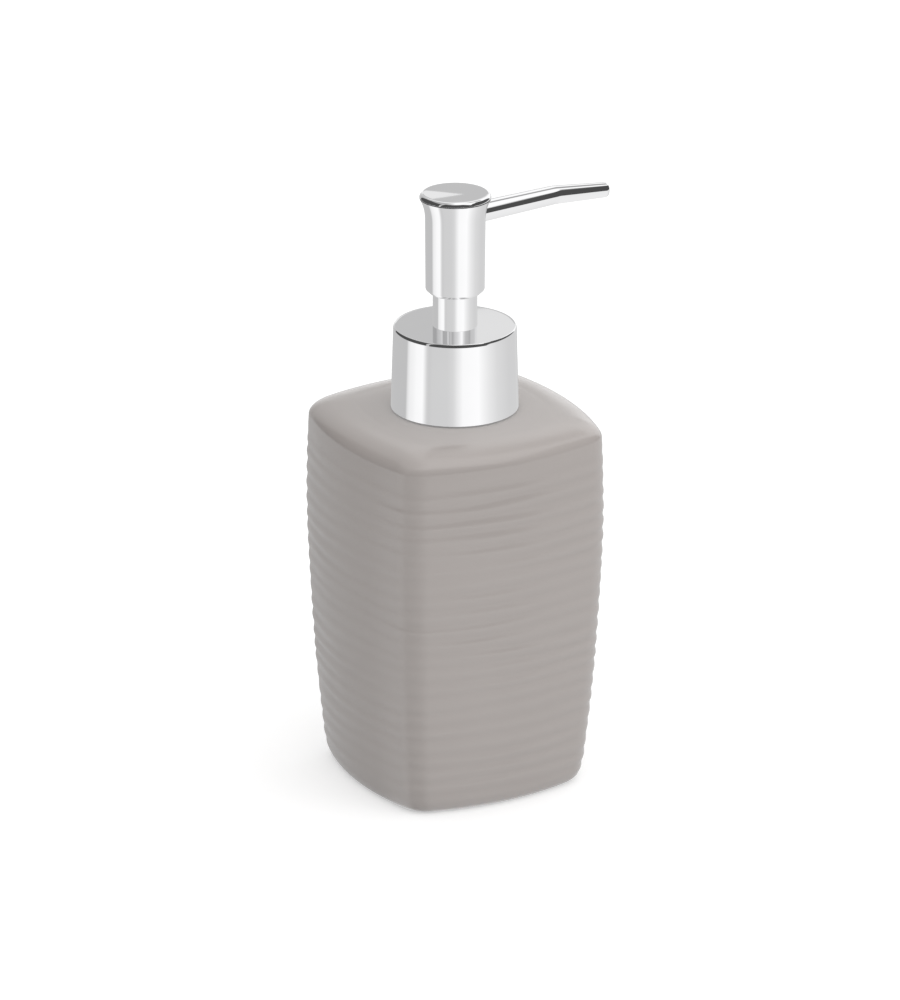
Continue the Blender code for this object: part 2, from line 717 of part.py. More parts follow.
def make_head_shell(head):
    """The tall chrome shell, open below for the sleeve and above for the cap."""
    top = shell_top_z - head_z
    lip_bore = sleeve_radius + HEAD_LIP_CLEARANCE
    profile = [(HEAD_SEAT_RADIUS, top)]
    profile += flare_points()
    profile += [
        (HEAD_LOW_RADIUS, HEAD_CHAMFER), (HEAD_LOW_RADIUS - HEAD_CHAMFER, 0), (lip_bore, 0),
        (lip_bore, HEAD_LIP_HEIGHT), (head_bore, HEAD_LIP_HEIGHT + head_bore - lip_bore),
        (head_bore, top - HEAD_SEAT_DEPTH), (HEAD_SEAT_RADIUS, top - HEAD_SEAT_DEPTH),
    ]
    shell = turned("head_shell", profile, bright_chrome, head, head_z, ROUND_STEPS)
    start, end = spout_line(head_bore / 2), spout_line(HEAD_RIM_RADIUS + OVERRUN)
    cut(shell, rod_cutter("spout_hole", start, end, spout_hole_radius))
    return shell


def make_head_cap(head):
    """The flat disc with a rounded edge that is pressed in the head's top."""
    edge = CAP_EDGE_RADIUS
    under = HEAD_SEAT_DEPTH
    top = under + CAP_DISC_THICKNESS
    profile = [(0, top)]
    profile += rounded_corner(HEAD_RIM_RADIUS - edge, top - edge, edge, math.pi / 2, 0)
    profile += [(HEAD_RIM_RADIUS, under), (HEAD_SEAT_RADIUS - GAP, under),
                (HEAD_SEAT_RADIUS - GAP, 0), (0, 0)]
    return turned("head_cap", profile, bright_chrome, head, head_top_z - top, ROUND_STEPS)


def make_head_core(head):
    """The block in the head: the stem plugs in from below and the spout from the side."""
    profile = [
        (0, CORE_HEIGHT), (core_radius, CORE_HEIGHT), (core_radius, 0), (stem_way_radius, 0),
        (stem_way_radius, STEM_SOCKET_DEPTH), (0, STEM_SOCKET_DEPTH),
    ]
    core = turned("head_core", profile, white_plastic, head, core_z)
    socket_end = spout_line(core_radius - SPOUT_SOCKET_DEPTH)
    outside = spout_line(core_radius + OVERRUN)
    cut(core, rod_cutter("spout_socket", socket_end, outside, spout_hole_radius))
    way = (0, 0, core_z + STEM_SOCKET_DEPTH - OVERRUN)
    way_top = (0, 0, spout_line(0)[2] + STEM_BORE / 2)
    cut(core, rod_cutter("rising_way", way, way_top, STEM_BORE))
    middle = spout_line(core_radius - SPOUT_SOCKET_DEPTH + OVERRUN)
    cut(core, rod_cutter("level_way", spout_line(0), middle, STEM_BORE))
    return core


# Spout

def spout_line(reach):
    """The point of the spout's first, slightly rising run at a distance from the axis."""
    slope = SPOUT_RISE / SPOUT_BEND_REACH
    return (reach, 0, spout_z + slope * reach)


def spout_path():
    """Centre line from inside the core to the tip: two runs joined by an arc."""
    root = Vector(spout_line(spout_root_x))
    bend = Vector(spout_line(SPOUT_BEND_REACH))
    tip = Vector((SPOUT_REACH, 0, bend.z - SPOUT_FALL))
    first = (bend - root).normalized()
    second = (tip - bend).normalized()
    half_turn = first.angle(second) / 2
    cut_back = SPOUT_BEND_RADIUS * math.tan(half_turn)
    centre = bend - first * cut_back + Vector((first.z, 0, -first.x)) * SPOUT_BEND_RADIUS
    path = [root]
    start = bend - first * cut_back - centre
    for i in range(SPOUT_BEND_STEPS + 1):
        turn = Matrix.Rotation(2 * half_turn * i / SPOUT_BEND_STEPS, 3, "Y")
        path.append(centre + turn @ start)
    path.append(tip)
    return path


def spout_radius(reach):
    """The tube tapers slowly from its root to the bend, and faster from there to the tip."""
    if reach < SPOUT_BEND_REACH:
        share = (reach - spout_root_x) / (SPOUT_BEND_REACH - spout_root_x)
        return SPOUT_ROOT_RADIUS + (SPOUT_MIDDLE_RADIUS - SPOUT_ROOT_RADIUS) * share
    share = (reach - SPOUT_BEND_REACH) / (SPOUT_REACH - SPOUT_BEND_REACH)
    return SPOUT_MIDDLE_RADIUS + (SPOUT_TIP_RADIUS - SPOUT_MIDDLE_RADIUS) * share


def make_spout_tube(head):
    """A thin tube, open at both ends."""
    path = spout_path()
    radii = [spout_radius(point.x) / SPOUT_ROOT_RADIUS for point in path]
    mesh = swept("spout_tube", path, radii, SPOUT_ROOT_RADIUS, SPOUT_RESOLUTION, False)
    spout = add_part("spout_tube", mesh, bright_chrome, head)
    wall = spout.modifiers.new("wall", "SOLIDIFY")
    wall.thickness = SPOUT_WALL
    wall.offset = -1
    return spout


# Collar, which turns on the pump

def collar_bore(height):
    """Radius inside the collar shell at a height above its foot."""
    share = height / (COLLAR_HEIGHT - COLLAR_EDGE_RADIUS)
    return COLLAR_FOOT_RADIUS + (COLLAR_RIM_RADIUS - COLLAR_FOOT_RADIUS) * share - COLLAR_WALL


def make_collar_shell(collar):
    """The chrome overcap: a tapered skirt, a rounded rim and a disc with the neck's hole."""
    edge = COLLAR_EDGE_RADIUS
    top = COLLAR_HEIGHT
    hole = RING_NECK_RADIUS + GAP
    inner_top = top - COLLAR_WALL
    profile = [(hole, top)]
    profile += rounded_corner(COLLAR_RIM_RADIUS - edge, top - edge, edge, math.pi / 2, 0)
    profile += [
        (COLLAR_FOOT_RADIUS, 0), (COLLAR_FOOT_RADIUS - COLLAR_WALL, 0),
        (collar_bore(inner_top - edge), inner_top - edge),
        (collar_bore(inner_top) - edge, inner_top), (hole, inner_top),
    ]
    return turned("collar_shell", profile, bright_chrome, collar, collar_z, ROUND_STEPS)


def make_closure_cap(collar):
    """The screw cap: its plate clamps the housing's flange and its skirt fills the shell."""
    low_z = insert_z + INSERT_FLANGE_THICKNESS + CAP_SKIRT_CLEARANCE
    bore = INSERT_TUBE_RADIUS + THREAD_DEPTH + GAP
    under = plate_z - low_z
    top = under + CAP_PLATE_THICKNESS
    low_radius = collar_bore(low_z - collar_z) - GAP
    high_radius = collar_bore(low_z - collar_z + top) - GAP
    chamfer = CAP_PLATE_THICKNESS / 2
    profile = [
        (RING_DISC_RADIUS + GAP, top), (high_radius - chamfer, top),
        (high_radius, top - chamfer), (low_radius, 0), (bore, 0), (bore, under),
        (RING_DISC_RADIUS + GAP, under),
    ]
    return turned("closure_cap", profile, white_plastic, collar, low_z)


def shade(part):
    """Smooth shading with the real edges kept sharp. A turned piece's Screw shades it smooth."""
    if part.type == "MESH" and "turn" not in part.modifiers:
        part.data.shade_smooth()
        part.data.set_sharp_from_angle(angle=SHARP_ANGLE)


def main():
    pump = add_axis("pump_axis", gasket_z)
    valve = add_axis("valve_axis", cage_z)
    plunger = add_axis("plunger_axis", piston_z)
    head = add_axis("head_axis", head_z)
    collar = add_axis("collar_axis", collar_z)
    for child, parent in ((valve, pump), (plunger, pump), (head, plunger), (collar, pump)):
        child.parent = parent
        child.matrix_parent_inverse = Matrix.Translation(-Vector(parent.location))

    make_bottle()
    make_threaded_neck()
    make_neck_gasket(pump)
    make_pump_housing(pump)
    make_locking_ring(pump)
    make_guide_sleeve(pump)
    make_stem_wiper(pump)
    make_ball_cage(pump)
    make_dip_tube(pump)
    make_return_spring(pump)
    make_inlet_ball(valve)
    make_piston(plunger)
    make_piston_rod(head)
    make_stem(head)
    make_head_shell(head)
    make_head_cap(head)
    make_head_core(head)
    make_spout_tube(head)
    make_collar_shell(collar)
    make_closure_cap(collar)
    for part in parts.objects:
        shade(part)


main()
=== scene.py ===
import math

import bpy
import numpy as np
from mathutils import Matrix, Quaternion, Vector


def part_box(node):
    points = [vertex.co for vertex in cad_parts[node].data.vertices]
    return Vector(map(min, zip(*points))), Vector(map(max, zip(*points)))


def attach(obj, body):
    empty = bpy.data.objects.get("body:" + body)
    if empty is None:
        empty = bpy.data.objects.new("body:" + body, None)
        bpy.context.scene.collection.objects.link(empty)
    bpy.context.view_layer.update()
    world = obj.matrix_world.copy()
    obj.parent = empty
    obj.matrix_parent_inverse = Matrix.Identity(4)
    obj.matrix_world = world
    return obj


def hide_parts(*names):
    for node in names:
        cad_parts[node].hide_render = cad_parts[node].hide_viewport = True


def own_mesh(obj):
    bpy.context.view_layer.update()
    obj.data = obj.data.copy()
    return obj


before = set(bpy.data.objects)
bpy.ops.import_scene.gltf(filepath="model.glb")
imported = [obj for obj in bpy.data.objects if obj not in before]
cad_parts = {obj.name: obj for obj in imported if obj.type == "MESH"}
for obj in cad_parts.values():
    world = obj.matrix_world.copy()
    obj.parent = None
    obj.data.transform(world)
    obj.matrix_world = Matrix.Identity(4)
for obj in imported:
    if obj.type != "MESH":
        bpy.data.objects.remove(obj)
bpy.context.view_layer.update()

mm = 0.001
tau = 2 * math.pi
print("frame loaded:", len(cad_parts), "nodes")


def lengths(**inMm):
    # A dictionary of lengths, given in mm and kept in metres
    return {key: value * mm for key, value in inMm.items()}


# Surfaces from whole arrays

def meshObject(name, points, quads, triangles):
    mesh = bpy.data.meshes.new(name)
    mesh.from_pydata(points.tolist(), [], quads.tolist() + triangles.tolist())
    mesh.shade_smooth()
    piece = bpy.data.objects.new(name, mesh)
    bpy.context.scene.collection.objects.link(piece)
    return piece


def gridObject(name, grid, ring=False):
    # A surface of rows x columns points that closes round its columns. The rows run up the outer side.
    # A row whose points all meet becomes one pole, and ring joins the last row to the first.
    columns = grid.shape[1]
    pole = np.ptp(grid, axis=1).max(axis=1) < 1e-9
    size = np.where(pole, 1, columns)
    first = np.cumsum(size) - size
    index = first[:, None] + np.where(pole[:, None], 0, np.arange(columns)[None, :])
    points = grid[np.arange(columns)[None, :] < size[:, None]]
    low = index if ring else index[:-1]
    high = np.roll(index, -1, axis=0) if ring else index[1:]
    quads = np.stack([low, np.roll(low, -1, 1), np.roll(high, -1, 1), high], -1).reshape(-1, 4)
    lowPole = quads[:, 0] == quads[:, 1]
    highPole = quads[:, 2] == quads[:, 3]
    fans = np.concatenate([quads[lowPole][:, [0, 2, 3]], quads[highPole][:, [0, 1, 2]]])
    return meshObject(name, points, quads[~(lowPole | highPole)], fans)


def rounded(corners, steps=6, edge=0, room=0.98):
    # An outline of (radius, height, rounding) corners, where an arc that touches both sides takes each
    # corner, of the size edge where it has none of its own. Two arcs that would overrun the side between
    # them are made smaller alike, to fit its room.
    corners = np.array([(tuple(c) + (edge,))[:3] for c in corners], float)
    place, rounding = corners[:, :2], corners[:, 2]
    side = np.roll(place, -1, 0) - place
    length = np.linalg.norm(side, axis=1)
    ahead = side / length[:, None]
    back = -np.roll(ahead, 1, 0)
    half = np.arccos(np.clip((ahead * back).sum(1), -1, 1)) / 2
    run = rounding / np.tan(half)
    share = np.minimum(1, room * length / np.maximum(run + np.roll(run, -1), 1e-9))
    run = run * np.minimum(share, np.roll(share, 1))
    out = []
    for i, here in enumerate(place):
        if run[i] <= 0:
            out.append(here[None])
            continue
        bisector = (back[i] + ahead[i]) / np.linalg.norm(back[i] + ahead[i])
        middle = here + bisector * run[i] / math.cos(half[i])
        start, end = here + back[i] * run[i] - middle, here + ahead[i] * run[i] - middle
        turn = math.atan2(start[0] * end[1] - start[1] * end[0], float(start @ end))
        a = np.linspace(0, turn, steps + 1)
        out.append(middle + np.stack([start[0] * np.cos(a) - start[1] * np.sin(a),
                                      start[0] * np.sin(a) + start[1] * np.cos(a)], 1))
    return np.concatenate(out)


def turned(name, profile, columns=128):
    # Each outline point (radius, height) goes round the axis: x = r cos a, y = r sin a. The outline runs up
    # its outer side, and one that stays off the axis closes on itself.
    a = np.linspace(0, tau, columns, endpoint=False)
    r, z = profile[:, 0, None], profile[:, 1, None]
    grid = np.stack([r * np.cos(a), r * np.sin(a), np.broadcast_to(z, (len(profile), columns))], -1)
    onAxis = profile[0, 0] < 1e-9 and profile[-1, 0] < 1e-9
    return gridObject(name, grid, ring=not onAxis)


def faceValues(piece, key):
    # One vector for each face: its center or its normal
    values = np.zeros(len(piece.data.polygons) * 3)
    piece.data.polygons.foreach_get(key, values)
    return values.reshape(-1, 3)


def sharpen(piece, degrees=35):
    piece.data.set_sharp_from_angle(angle=math.radians(degrees))
    return piece


def boxCutter(centre, size):
    corner = np.array([(x, y, z) for z in (-0.5, 0.5)
                       for x, y in ((-0.5, -0.5), (0.5, -0.5), (0.5, 0.5), (-0.5, 0.5))])
    faces = np.array([(3, 2, 1, 0), (4, 5, 6, 7), (0, 1, 5, 4), (1, 2, 6, 5), (2, 3, 7, 6), (3, 0, 4, 7)])
    return meshObject("slot", corner * np.array(size) + np.array(centre), faces, np.zeros((0, 3), int))


def rodCutter(start, end, radius, columns=64):
    run = Vector(end) - Vector(start)
    profile = np.array([(0, 0), (radius, 0), (radius, run.length), (0, run.length)], float)
    cutter = turned("bore", profile, columns)
    cutter.matrix_world = Matrix.Translation(start) @ run.to_track_quat("Z", "Y").to_matrix().to_4x4()
    return cutter


def applyCut(piece, cutter):
    boolean = piece.modifiers.new("cut", "BOOLEAN")
    boolean.object = cutter
    bpy.context.view_layer.update()
    seen = piece.evaluated_get(bpy.context.evaluated_depsgraph_get())
    mesh = bpy.data.meshes.new_from_object(seen)
    piece.modifiers.clear()
    piece.data = mesh
    bpy.data.objects.remove(cutter, do_unlink=True)
    return sharpen(piece)


def dress(piece, body, slot, *replaced):
    piece.data.materials.clear()
    piece.data.materials.append(finishes[slot])
    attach(piece, body)
    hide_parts(*replaced)
    # In the photograph the chrome mirrors no ceramic or plastic, so mirrored rays see only the chrome
    piece.visible_glossy = slot == "bright_chrome"
    return piece


def addBare(piece, material, bare):
    # The faces for which bare is true take a second material
    piece.data.materials.append(material)
    piece.data.polygons.foreach_set("material_index", bare.astype(np.int32))


def turnedPiece(name, corners, columns, body, slot, replaced, edge=0, steps=4):
    # A rounded outline, turned round the axis
    return dress(sharpen(turned(name, rounded(corners, steps, edge), columns)), body, slot, replaced)


# Shader helpers

def addNode(tree, kind, inputs=None, **settings):
    node = tree.nodes.new(kind)
    for key, value in settings.items():
        setattr(node, key, value)
    for key, value in (inputs or {}).items():
        if isinstance(value, bpy.types.NodeSocket):
            tree.links.new(value, node.inputs[key])
        else:
            node.inputs[key].default_value = value
    return node


def maths(tree, operation, a, b=0.0, c=0.0):
    return addNode(tree, "ShaderNodeMath", {0: a, 1: b, 2: c}, operation=operation).outputs[0]


def step(tree, value, low, high, start=0.0, end=1.0):
    # Soft step from start at low to end at high
    inputs = {"Value": value, "From Min": low, "From Max": high, "To Min": start, "To Max": end}
    return addNode(tree, "ShaderNodeMapRange", inputs, interpolation_type="SMOOTHSTEP").outputs["Result"]


def within(tree, value, low, high, soft):
    # 1 from low to high and 0 outside, with both edges softened by soft to either side
    return maths(tree, "MULTIPLY", step(tree, value, low - soft, low + soft),
                 step(tree, value, high + soft, high - soft))


def blend(tree, share, low, high):
    # Grey or number: low where share is 0, high where it is 1
    return addNode(tree, "ShaderNodeMix", {"Factor": share, 2: low, 3: high}, data_type="FLOAT").outputs[0]


def blendColour(tree, share, low, high):
    low, high = (c if isinstance(c, bpy.types.NodeSocket) else (*c, 1) for c in (low, high))
    return addNode(tree, "ShaderNodeMix", {"Factor": share, 6: low, 7: high}, data_type="RGBA").outputs[2]


def newMaterial(name, **constants):
    material = bpy.data.materials.new(name)
    material.use_nodes = True
    tree = material.node_tree
    shader = tree.nodes["Principled BSDF"]
    for key, value in constants.items():
        shader.inputs[key.replace("_", " ")].default_value = value
    where = addNode(tree, "ShaderNodeTexCoord").outputs["Object"]
    return material, tree, shader, where


def noise(tree, where, size, detail):
    # Cloud pattern with patches about as wide as size, in metres
    inputs = {"Vector": where, "Scale": 1 / size, "Detail": detail, "Roughness": 0.5}
    return addNode(tree, "ShaderNodeTexNoise", inputs).outputs["Fac"]


def bump(tree, shader, height, depth):
    node = addNode(tree, "ShaderNodeBump", {"Height": height, "Distance": depth, "Strength": 1.0})
    tree.links.new(node.outputs["Normal"], shader.inputs["Normal"])


# Materials

glaze = {"colour": (0.397, 0.362, 0.345), "pooled": (0.383, 0.348, 0.331), "crest": (0.407, 0.372, 0.355),
         "cloud": 18 * mm, "roughness": 0.32, "roughnessDrift": 0.03, "roughnessCloud": 14 * mm,
         "coat": 0.80, "coatRoughness": 0.20, "wave": 7 * mm, "waveDepth": 0.022 * mm}


def makeGlaze():
    # Satin stoneware glaze: a little thinner and paler on the ribs' crests, pooled and darker between them
    material, tree, shader, where = newMaterial("taupeGlaze", Coat_Weight=glaze["coat"],
                                                Coat_Roughness=glaze["coatRoughness"], IOR=1.5)
    crest = addNode(tree, "ShaderNodeAttribute", attribute_name="crest").outputs["Fac"]
    cloud = noise(tree, where, glaze["cloud"], 3)
    ribbed = blendColour(tree, step(tree, crest, -0.9, 0.9), glaze["pooled"], glaze["crest"])
    body = blendColour(tree, step(tree, cloud, 0.35, 0.65, 0.25, 0.75), glaze["colour"], ribbed)
    tree.links.new(body, shader.inputs["Base Color"])
    middle, drift = glaze["roughness"], glaze["roughnessDrift"]
    patches = noise(tree, where, glaze["roughnessCloud"], 1)
    tree.links.new(step(tree, patches, 0.3, 0.7, middle - drift, middle + drift), shader.inputs["Roughness"])
    bump(tree, shader, noise(tree, where, glaze["wave"], 1), glaze["waveDepth"])
    return material


def makeFinish(name, low, high, cloud, grain, relief, rough=None, **constants):
    # Clouds take the colour from low to high, and the roughness over its range where it has one. A grain
    # stands out by relief. Cloud and grain are (size, detail).
    material, tree, shader, where = newMaterial(name, **constants)
    clouds = noise(tree, where, *cloud)
    tree.links.new(blendColour(tree, clouds, low, high), shader.inputs["Base Color"])
    if rough:
        tree.links.new(step(tree, clouds, 0.3, 0.7, *rough), shader.inputs["Roughness"])
    bump(tree, shader, noise(tree, where, *grain), relief)
    return material


def makePlastic(name, low, high, rough):
    # Moulded plastic with a fine spark-eroded grain
    return makeFinish(name, low, high, (5 * mm, 2), (0.18 * mm, 2), 0.004 * mm, rough, IOR=1.49)


def makeSteel(name, level, roughness):
    return makeFinish(name, (level * 0.9,) * 3, (level * 1.05,) * 3, (0.8 * mm, 3), (0.12 * mm, 2),
                      0.002 * mm, (roughness * 0.8, roughness * 1.2), Metallic=1.0)


# The chrome is bright plating on moulded plastic: a faint waviness under the mirror, and a breath of haze
finishes = {
    "glazed_ceramic": makeGlaze(),
    "bright_chrome": makeFinish("brightChrome", (0.905, 0.905, 0.915), (0.935, 0.935, 0.94), (9 * mm, 3),
                                (9 * mm, 0), 0.0015 * mm, (0.010, 0.022), Metallic=1.0),
    "white_plastic": makePlastic("whitePlastic", (0.78, 0.78, 0.76), (0.84, 0.84, 0.82), (0.35, 0.45)),
    "milky_plastic": makePlastic("milkyPlastic", (0.72, 0.74, 0.74), (0.77, 0.79, 0.79), (0.25, 0.35)),
    "grey_seal": makePlastic("greySeal", (0.19, 0.19, 0.20), (0.25, 0.25, 0.26), (0.60, 0.70)),
    "spring_steel": makeSteel("springSteel", 0.55, 0.28),
    "polished_steel": makeSteel("polishedSteel", 0.70, 0.10)}
bareClay = makeFinish("bareClay", (0.52, 0.49, 0.45), (0.66, 0.63, 0.58), (0.5 * mm, 4), (0.5 * mm, 4),
                      0.03 * mm, Roughness=0.85)
# Dull plastic where the plating ends inside a moulded shell, coloured near black as painted shade, so that
# the gap under the collar's foot reads as a dark contact line
paintedShadePlastic = makeFinish("paintedShadePlastic", (0.035, 0.035, 0.036), (0.050, 0.050, 0.051), (3 * mm, 3),
                         (0.3 * mm, 2), 0.006 * mm, Roughness=0.8, Specular_IOR_Level=0.2)
print("materials made")


# Bottle

# bow and corner are the plan's radii as shares of the half width. side is the side view: the share of
# the height against the share of the greatest half width.
bottle = dict(
    lengths(
        height=110.6, halfWidth=37.2, wall=4.2, floor=5.2, baseEdge=2.2, shoulderDrop=5.5, shoulderRun=11.7,
        crown=0.25, land=19.6, mouth=12.0, mouthDepth=6.2, mouthEdge=0.8, footInset=3.0, footRise=0.5,
        footRound=1.2, footEdge=0.5, bareHeight=0.12, bareRun=0.3),
    bow=2.52, corner=0.28, sideColumns=46, cornerColumns=34, ribRows=196,
    side=[(0.00, 0.830), (0.04, 0.872), (0.12, 0.901), (0.30, 0.946), (0.50, 0.979),
          (0.70, 1.000), (0.86, 0.995), (0.95, 0.985)])

# strength is their middle, from which drift takes them to weakest and strongest. smooth says where they
# are shallower: (turn round the bottle, spread, share taken off). sines are the drift's: (amount, waves
# round, climb over the height, start).
ribs = dict(
    lengths(depth=0.37, start=5.8, wave=0.6, thrown=0.03, fadeFrom=2, fadeLow=4, fadeHigh=8.5),
    count=22, wobble=0.13, strength=0.68, drift=0.34, weakest=0.2, strongest=1.1,
    smooth=[(-168, 24, 0.50), (-126, 16, 0.40)],
    sines=[(0.42, 2, 21, 0.7), (0.30, 3, -34, 0.0), (0.18, 5, 55, 2.1), (0.10, 9, -71, 4.0)])

shoulderZ = bottle["height"] - bottle["crown"] - bottle["shoulderDrop"]


def sideShare(share):
    # Smooth cubic through the side view's points. The slope at a point is that of its neighbours' chord.
    table = np.array(bottle["side"])
    share = np.clip(share, 0, table[-1, 0])
    i = np.clip(np.searchsorted(table[:, 0], share, side="right") - 1, 0, len(table) - 2)
    low, high = table[i], table[i + 1]
    before, after = table[np.maximum(i - 1, 0)], table[np.minimum(i + 2, len(table) - 1)]
    span = high[:, 0] - low[:, 0]
    t = (share - low[:, 0]) / span
    slopeLow = (high[:, 1] - before[:, 1]) / (high[:, 0] - before[:, 0]) * span
    slopeHigh = (after[:, 1] - low[:, 1]) / (after[:, 0] - low[:, 0]) * span
    return ((2 * t**3 - 3 * t**2 + 1) * low[:, 1] + (t**3 - 2 * t**2 + t) * slopeLow
            + (3 * t**2 - 2 * t**3) * high[:, 1] + (t**3 - t**2) * slopeHigh)


def halfWidthAt(height):
    return bottle["halfWidth"] * sideShare(np.maximum(np.atleast_1d(height), 0) / bottle["height"])


footHalf = float(halfWidthAt(0.0)[0]) - bottle["baseEdge"] - bottle["footInset"]


def planOutline():
    # The plan for a half width of 1: four arcs of the large bow radius, joined by four of the corner radius
    bow, corner = bottle["bow"], bottle["corner"]
    bowCentre, reach = 1 - bow, bow - corner
    cornerCentre = (bowCentre + math.sqrt(2 * reach**2 - bowCentre**2)) / 2
    join = math.atan2(cornerCentre, cornerCentre - bowCentre)
    a = np.linspace(-join, join, bottle["sideColumns"], endpoint=False)
    b = np.linspace(join, math.pi / 2 - join, bottle["cornerColumns"], endpoint=False)
    bowed = np.stack([bowCentre + bow * np.cos(a), bow * np.sin(a)], 1)
    cornered = np.stack([cornerCentre + corner * np.cos(b), cornerCentre + corner * np.sin(b)], 1)
    quarter = np.concatenate([bowed, cornered])
    turns = [np.array([[math.cos(t), math.sin(t)], [-math.sin(t), math.cos(t)]])
             for t in np.arange(4) * tau / 4]
    return np.concatenate([quarter @ turn for turn in turns])


def ringRows(height, width, roundness=0.0, ribbed=0.0):
    return np.stack(np.broadcast_arrays(*np.atleast_1d(height, width, roundness, ribbed)), 1)


def quarterTurn(count):
    return np.linspace(0, math.pi / 2, count)


def bottleRings():
    # Rings of (height, half width, roundness, share of the ribs) go up the outside, over the shoulder, down
    # the mouth and down the inside to the middle of the floor
    top, wall, edge, rise = bottle["height"], bottle["wall"], bottle["baseEdge"], bottle["footRise"]
    footSteps = footHalf - np.array([footHalf, footHalf / 2, bottle["footRound"], bottle["footEdge"], 0])
    rings = [ringRows([rise, rise, rise, rise * 0.5, 0.0], footSteps)]
    a = quarterTurn(8)
    height = edge - edge * np.cos(a)
    rings.append(ringRows(height, halfWidthAt(height) - edge * (1 - np.sin(a))))
    height = np.linspace(edge, shoulderZ, bottle["ribRows"] + 1)[1:]
    rings.append(ringRows(height, halfWidthAt(height), 0.0, 1.0))
    # The shoulder is a quarter of an ellipse, and the land on top rises by the crown to the mouth
    a = quarterTurn(24)[1:]
    shoulderWidth = float(halfWidthAt(shoulderZ)[0])
    rings.append(ringRows(shoulderZ + bottle["shoulderDrop"] * np.sin(a),
                          shoulderWidth - bottle["shoulderRun"] * (1 - np.cos(a))))
    t = np.linspace(0, 1, 10)[1:]
    shoulderIn = shoulderWidth - bottle["shoulderRun"]
    rings.append(ringRows(top - bottle["crown"] * (1 - t)**2, shoulderIn + (bottle["land"] - shoulderIn) * t,
                          t * t * (3 - 2 * t)))
    mouth, lip = bottle["mouth"], bottle["mouthEdge"]
    a = quarterTurn(6)
    rings.append(ringRows(top - lip * (1 - np.cos(a)), mouth + lip * (1 - np.sin(a)), 1.0))
    # Inside, a quarter of an ellipse leads from the mouth to a wall that keeps its thickness
    mouthLowZ = top - bottle["mouthDepth"]
    innerTopZ = shoulderZ - bottle["shoulderDrop"]
    a = np.linspace(math.pi / 2, 0, 14)
    rings.append(ringRows(innerTopZ + (mouthLowZ - innerTopZ) * np.sin(a),
                          mouth + (shoulderWidth - wall - mouth) * np.cos(a), np.linspace(1, 0, 14)**1.5))
    innerLowZ = bottle["floor"] + wall
    height = np.linspace(innerTopZ, innerLowZ, 16)[1:]
    rings.append(ringRows(height, halfWidthAt(height) - wall))
    a = quarterTurn(8)[1:]
    innerLowWidth = float(halfWidthAt(innerLowZ)[0])
    rings.append(ringRows(innerLowZ - wall * np.sin(a), innerLowWidth - wall * (2 - np.cos(a))))
    rings.append(ringRows([bottle["floor"]] * 2, np.array([0.5 * innerLowWidth, 0])))
    return np.concatenate(rings)


def ripple(a, z):
    # Slow uneven drift round and up the bottle, from sines that don't share a period
    return sum(amount * np.sin(waves * a + climb * z / bottle["height"] + start)
               for amount, waves, climb, start in ribs["sines"])


def ribWaves(z, around):
    # Minus the cosine of a phase that climbs by pi from each valley to the next crest. Valleys are at even
    # steps and crests at odd ones, each a little off its even place, and all drift with the ripple.
    count = 2 * ribs["count"]
    k = np.arange(count)
    pitch = (shoulderZ - ribs["start"]) / count
    places = ribs["start"] + pitch * (k + ribs["wobble"] * np.sin(k * k))
    drift = ripple(around, z)
    shifted = z + ribs["wave"] * drift
    phase = np.interp(shifted.ravel(), places, k).reshape(shifted.shape)
    below, above = (shifted - places[0]) / pitch, (shifted - places[-1]) / pitch
    phase = phase + np.minimum(0, below) + np.maximum(0, above)
    fade = (np.clip((z - ribs["fadeFrom"]) / ribs["fadeLow"], 0, 1)
            * np.clip((shoulderZ - z) / ribs["fadeHigh"], 0, 1))
    return -np.cos(math.pi * phase), drift, fade


def ribStrength(z, around):
    # The ribs come and go along their length, and are shallower round the turns given by smooth
    strength = np.clip(ribs["strength"] + ribs["drift"] * ripple(around + 1.3, z * 0.8),
                       ribs["weakest"], ribs["strongest"])
    for smoothAt, spread, taken in ribs["smooth"]:
        apart = np.angle(np.exp(1j * (around - math.radians(smoothAt)))) / math.radians(spread)
        strength = strength * (1 - taken * np.exp(-apart**2))
    return strength


def makeBottle():
    # A ring is the plan, blended by its roundness to a circle, times the half width and the ribs' swell:
    # half their depth times the wave, less a slow unevenness of the throwing
    outline = planOutline()
    around = np.arctan2(outline[:, 1], outline[:, 0])[None, :]
    z, width, roundness, ribbed = bottleRings().T[:, :, None]
    wave, drift, fade = ribWaves(z, around)
    strength = ribStrength(z, around)
    crest = wave * ribbed * fade
    swell = crest * strength * ribs["depth"] / 2 - ribs["thrown"] * ribbed * fade * (1 + drift)
    direction = outline / np.linalg.norm(outline, axis=1)[:, None]
    plan = outline[None] * (1 - roundness[..., None]) + direction[None] * roundness[..., None]
    place = plan * (width + swell)[..., None]
    grid = np.concatenate([place, np.broadcast_to(z[..., None], place.shape[:2] + (1,))], -1)
    piece = gridObject("bottle_glazed", grid)
    pole = np.ptp(grid, axis=1).max(axis=1) < 1e-9
    kept = np.arange(grid.shape[1])[None, :] < np.where(pole, 1, grid.shape[1])[:, None]
    attribute = piece.data.attributes.new("crest", "FLOAT", "POINT")
    attribute.data.foreach_set("value", (crest * strength)[kept].astype(np.float32))
    dress(piece, "bottle", "glazed_ceramic", "bottle")
    # The ring that the bottle stands on is wiped free of glaze
    middle = faceValues(piece, "center")
    wide = np.abs(middle[:, :2]).max(axis=1)
    bare = (middle[:, 2] < bottle["bareHeight"]) & (wide > footHalf - bottle["bareRun"])
    addBare(piece, bareClay, bare)


makeBottle()
print("bottle made")


# Collar and sleeve

collar = lengths(
    foot=18.15, rim=17.45, wall=0.7, hole=5.8, edgeIn=0.5, edgeDown=1.15, footEdge=0.12, footLift=0.15,
    crown=0.022)


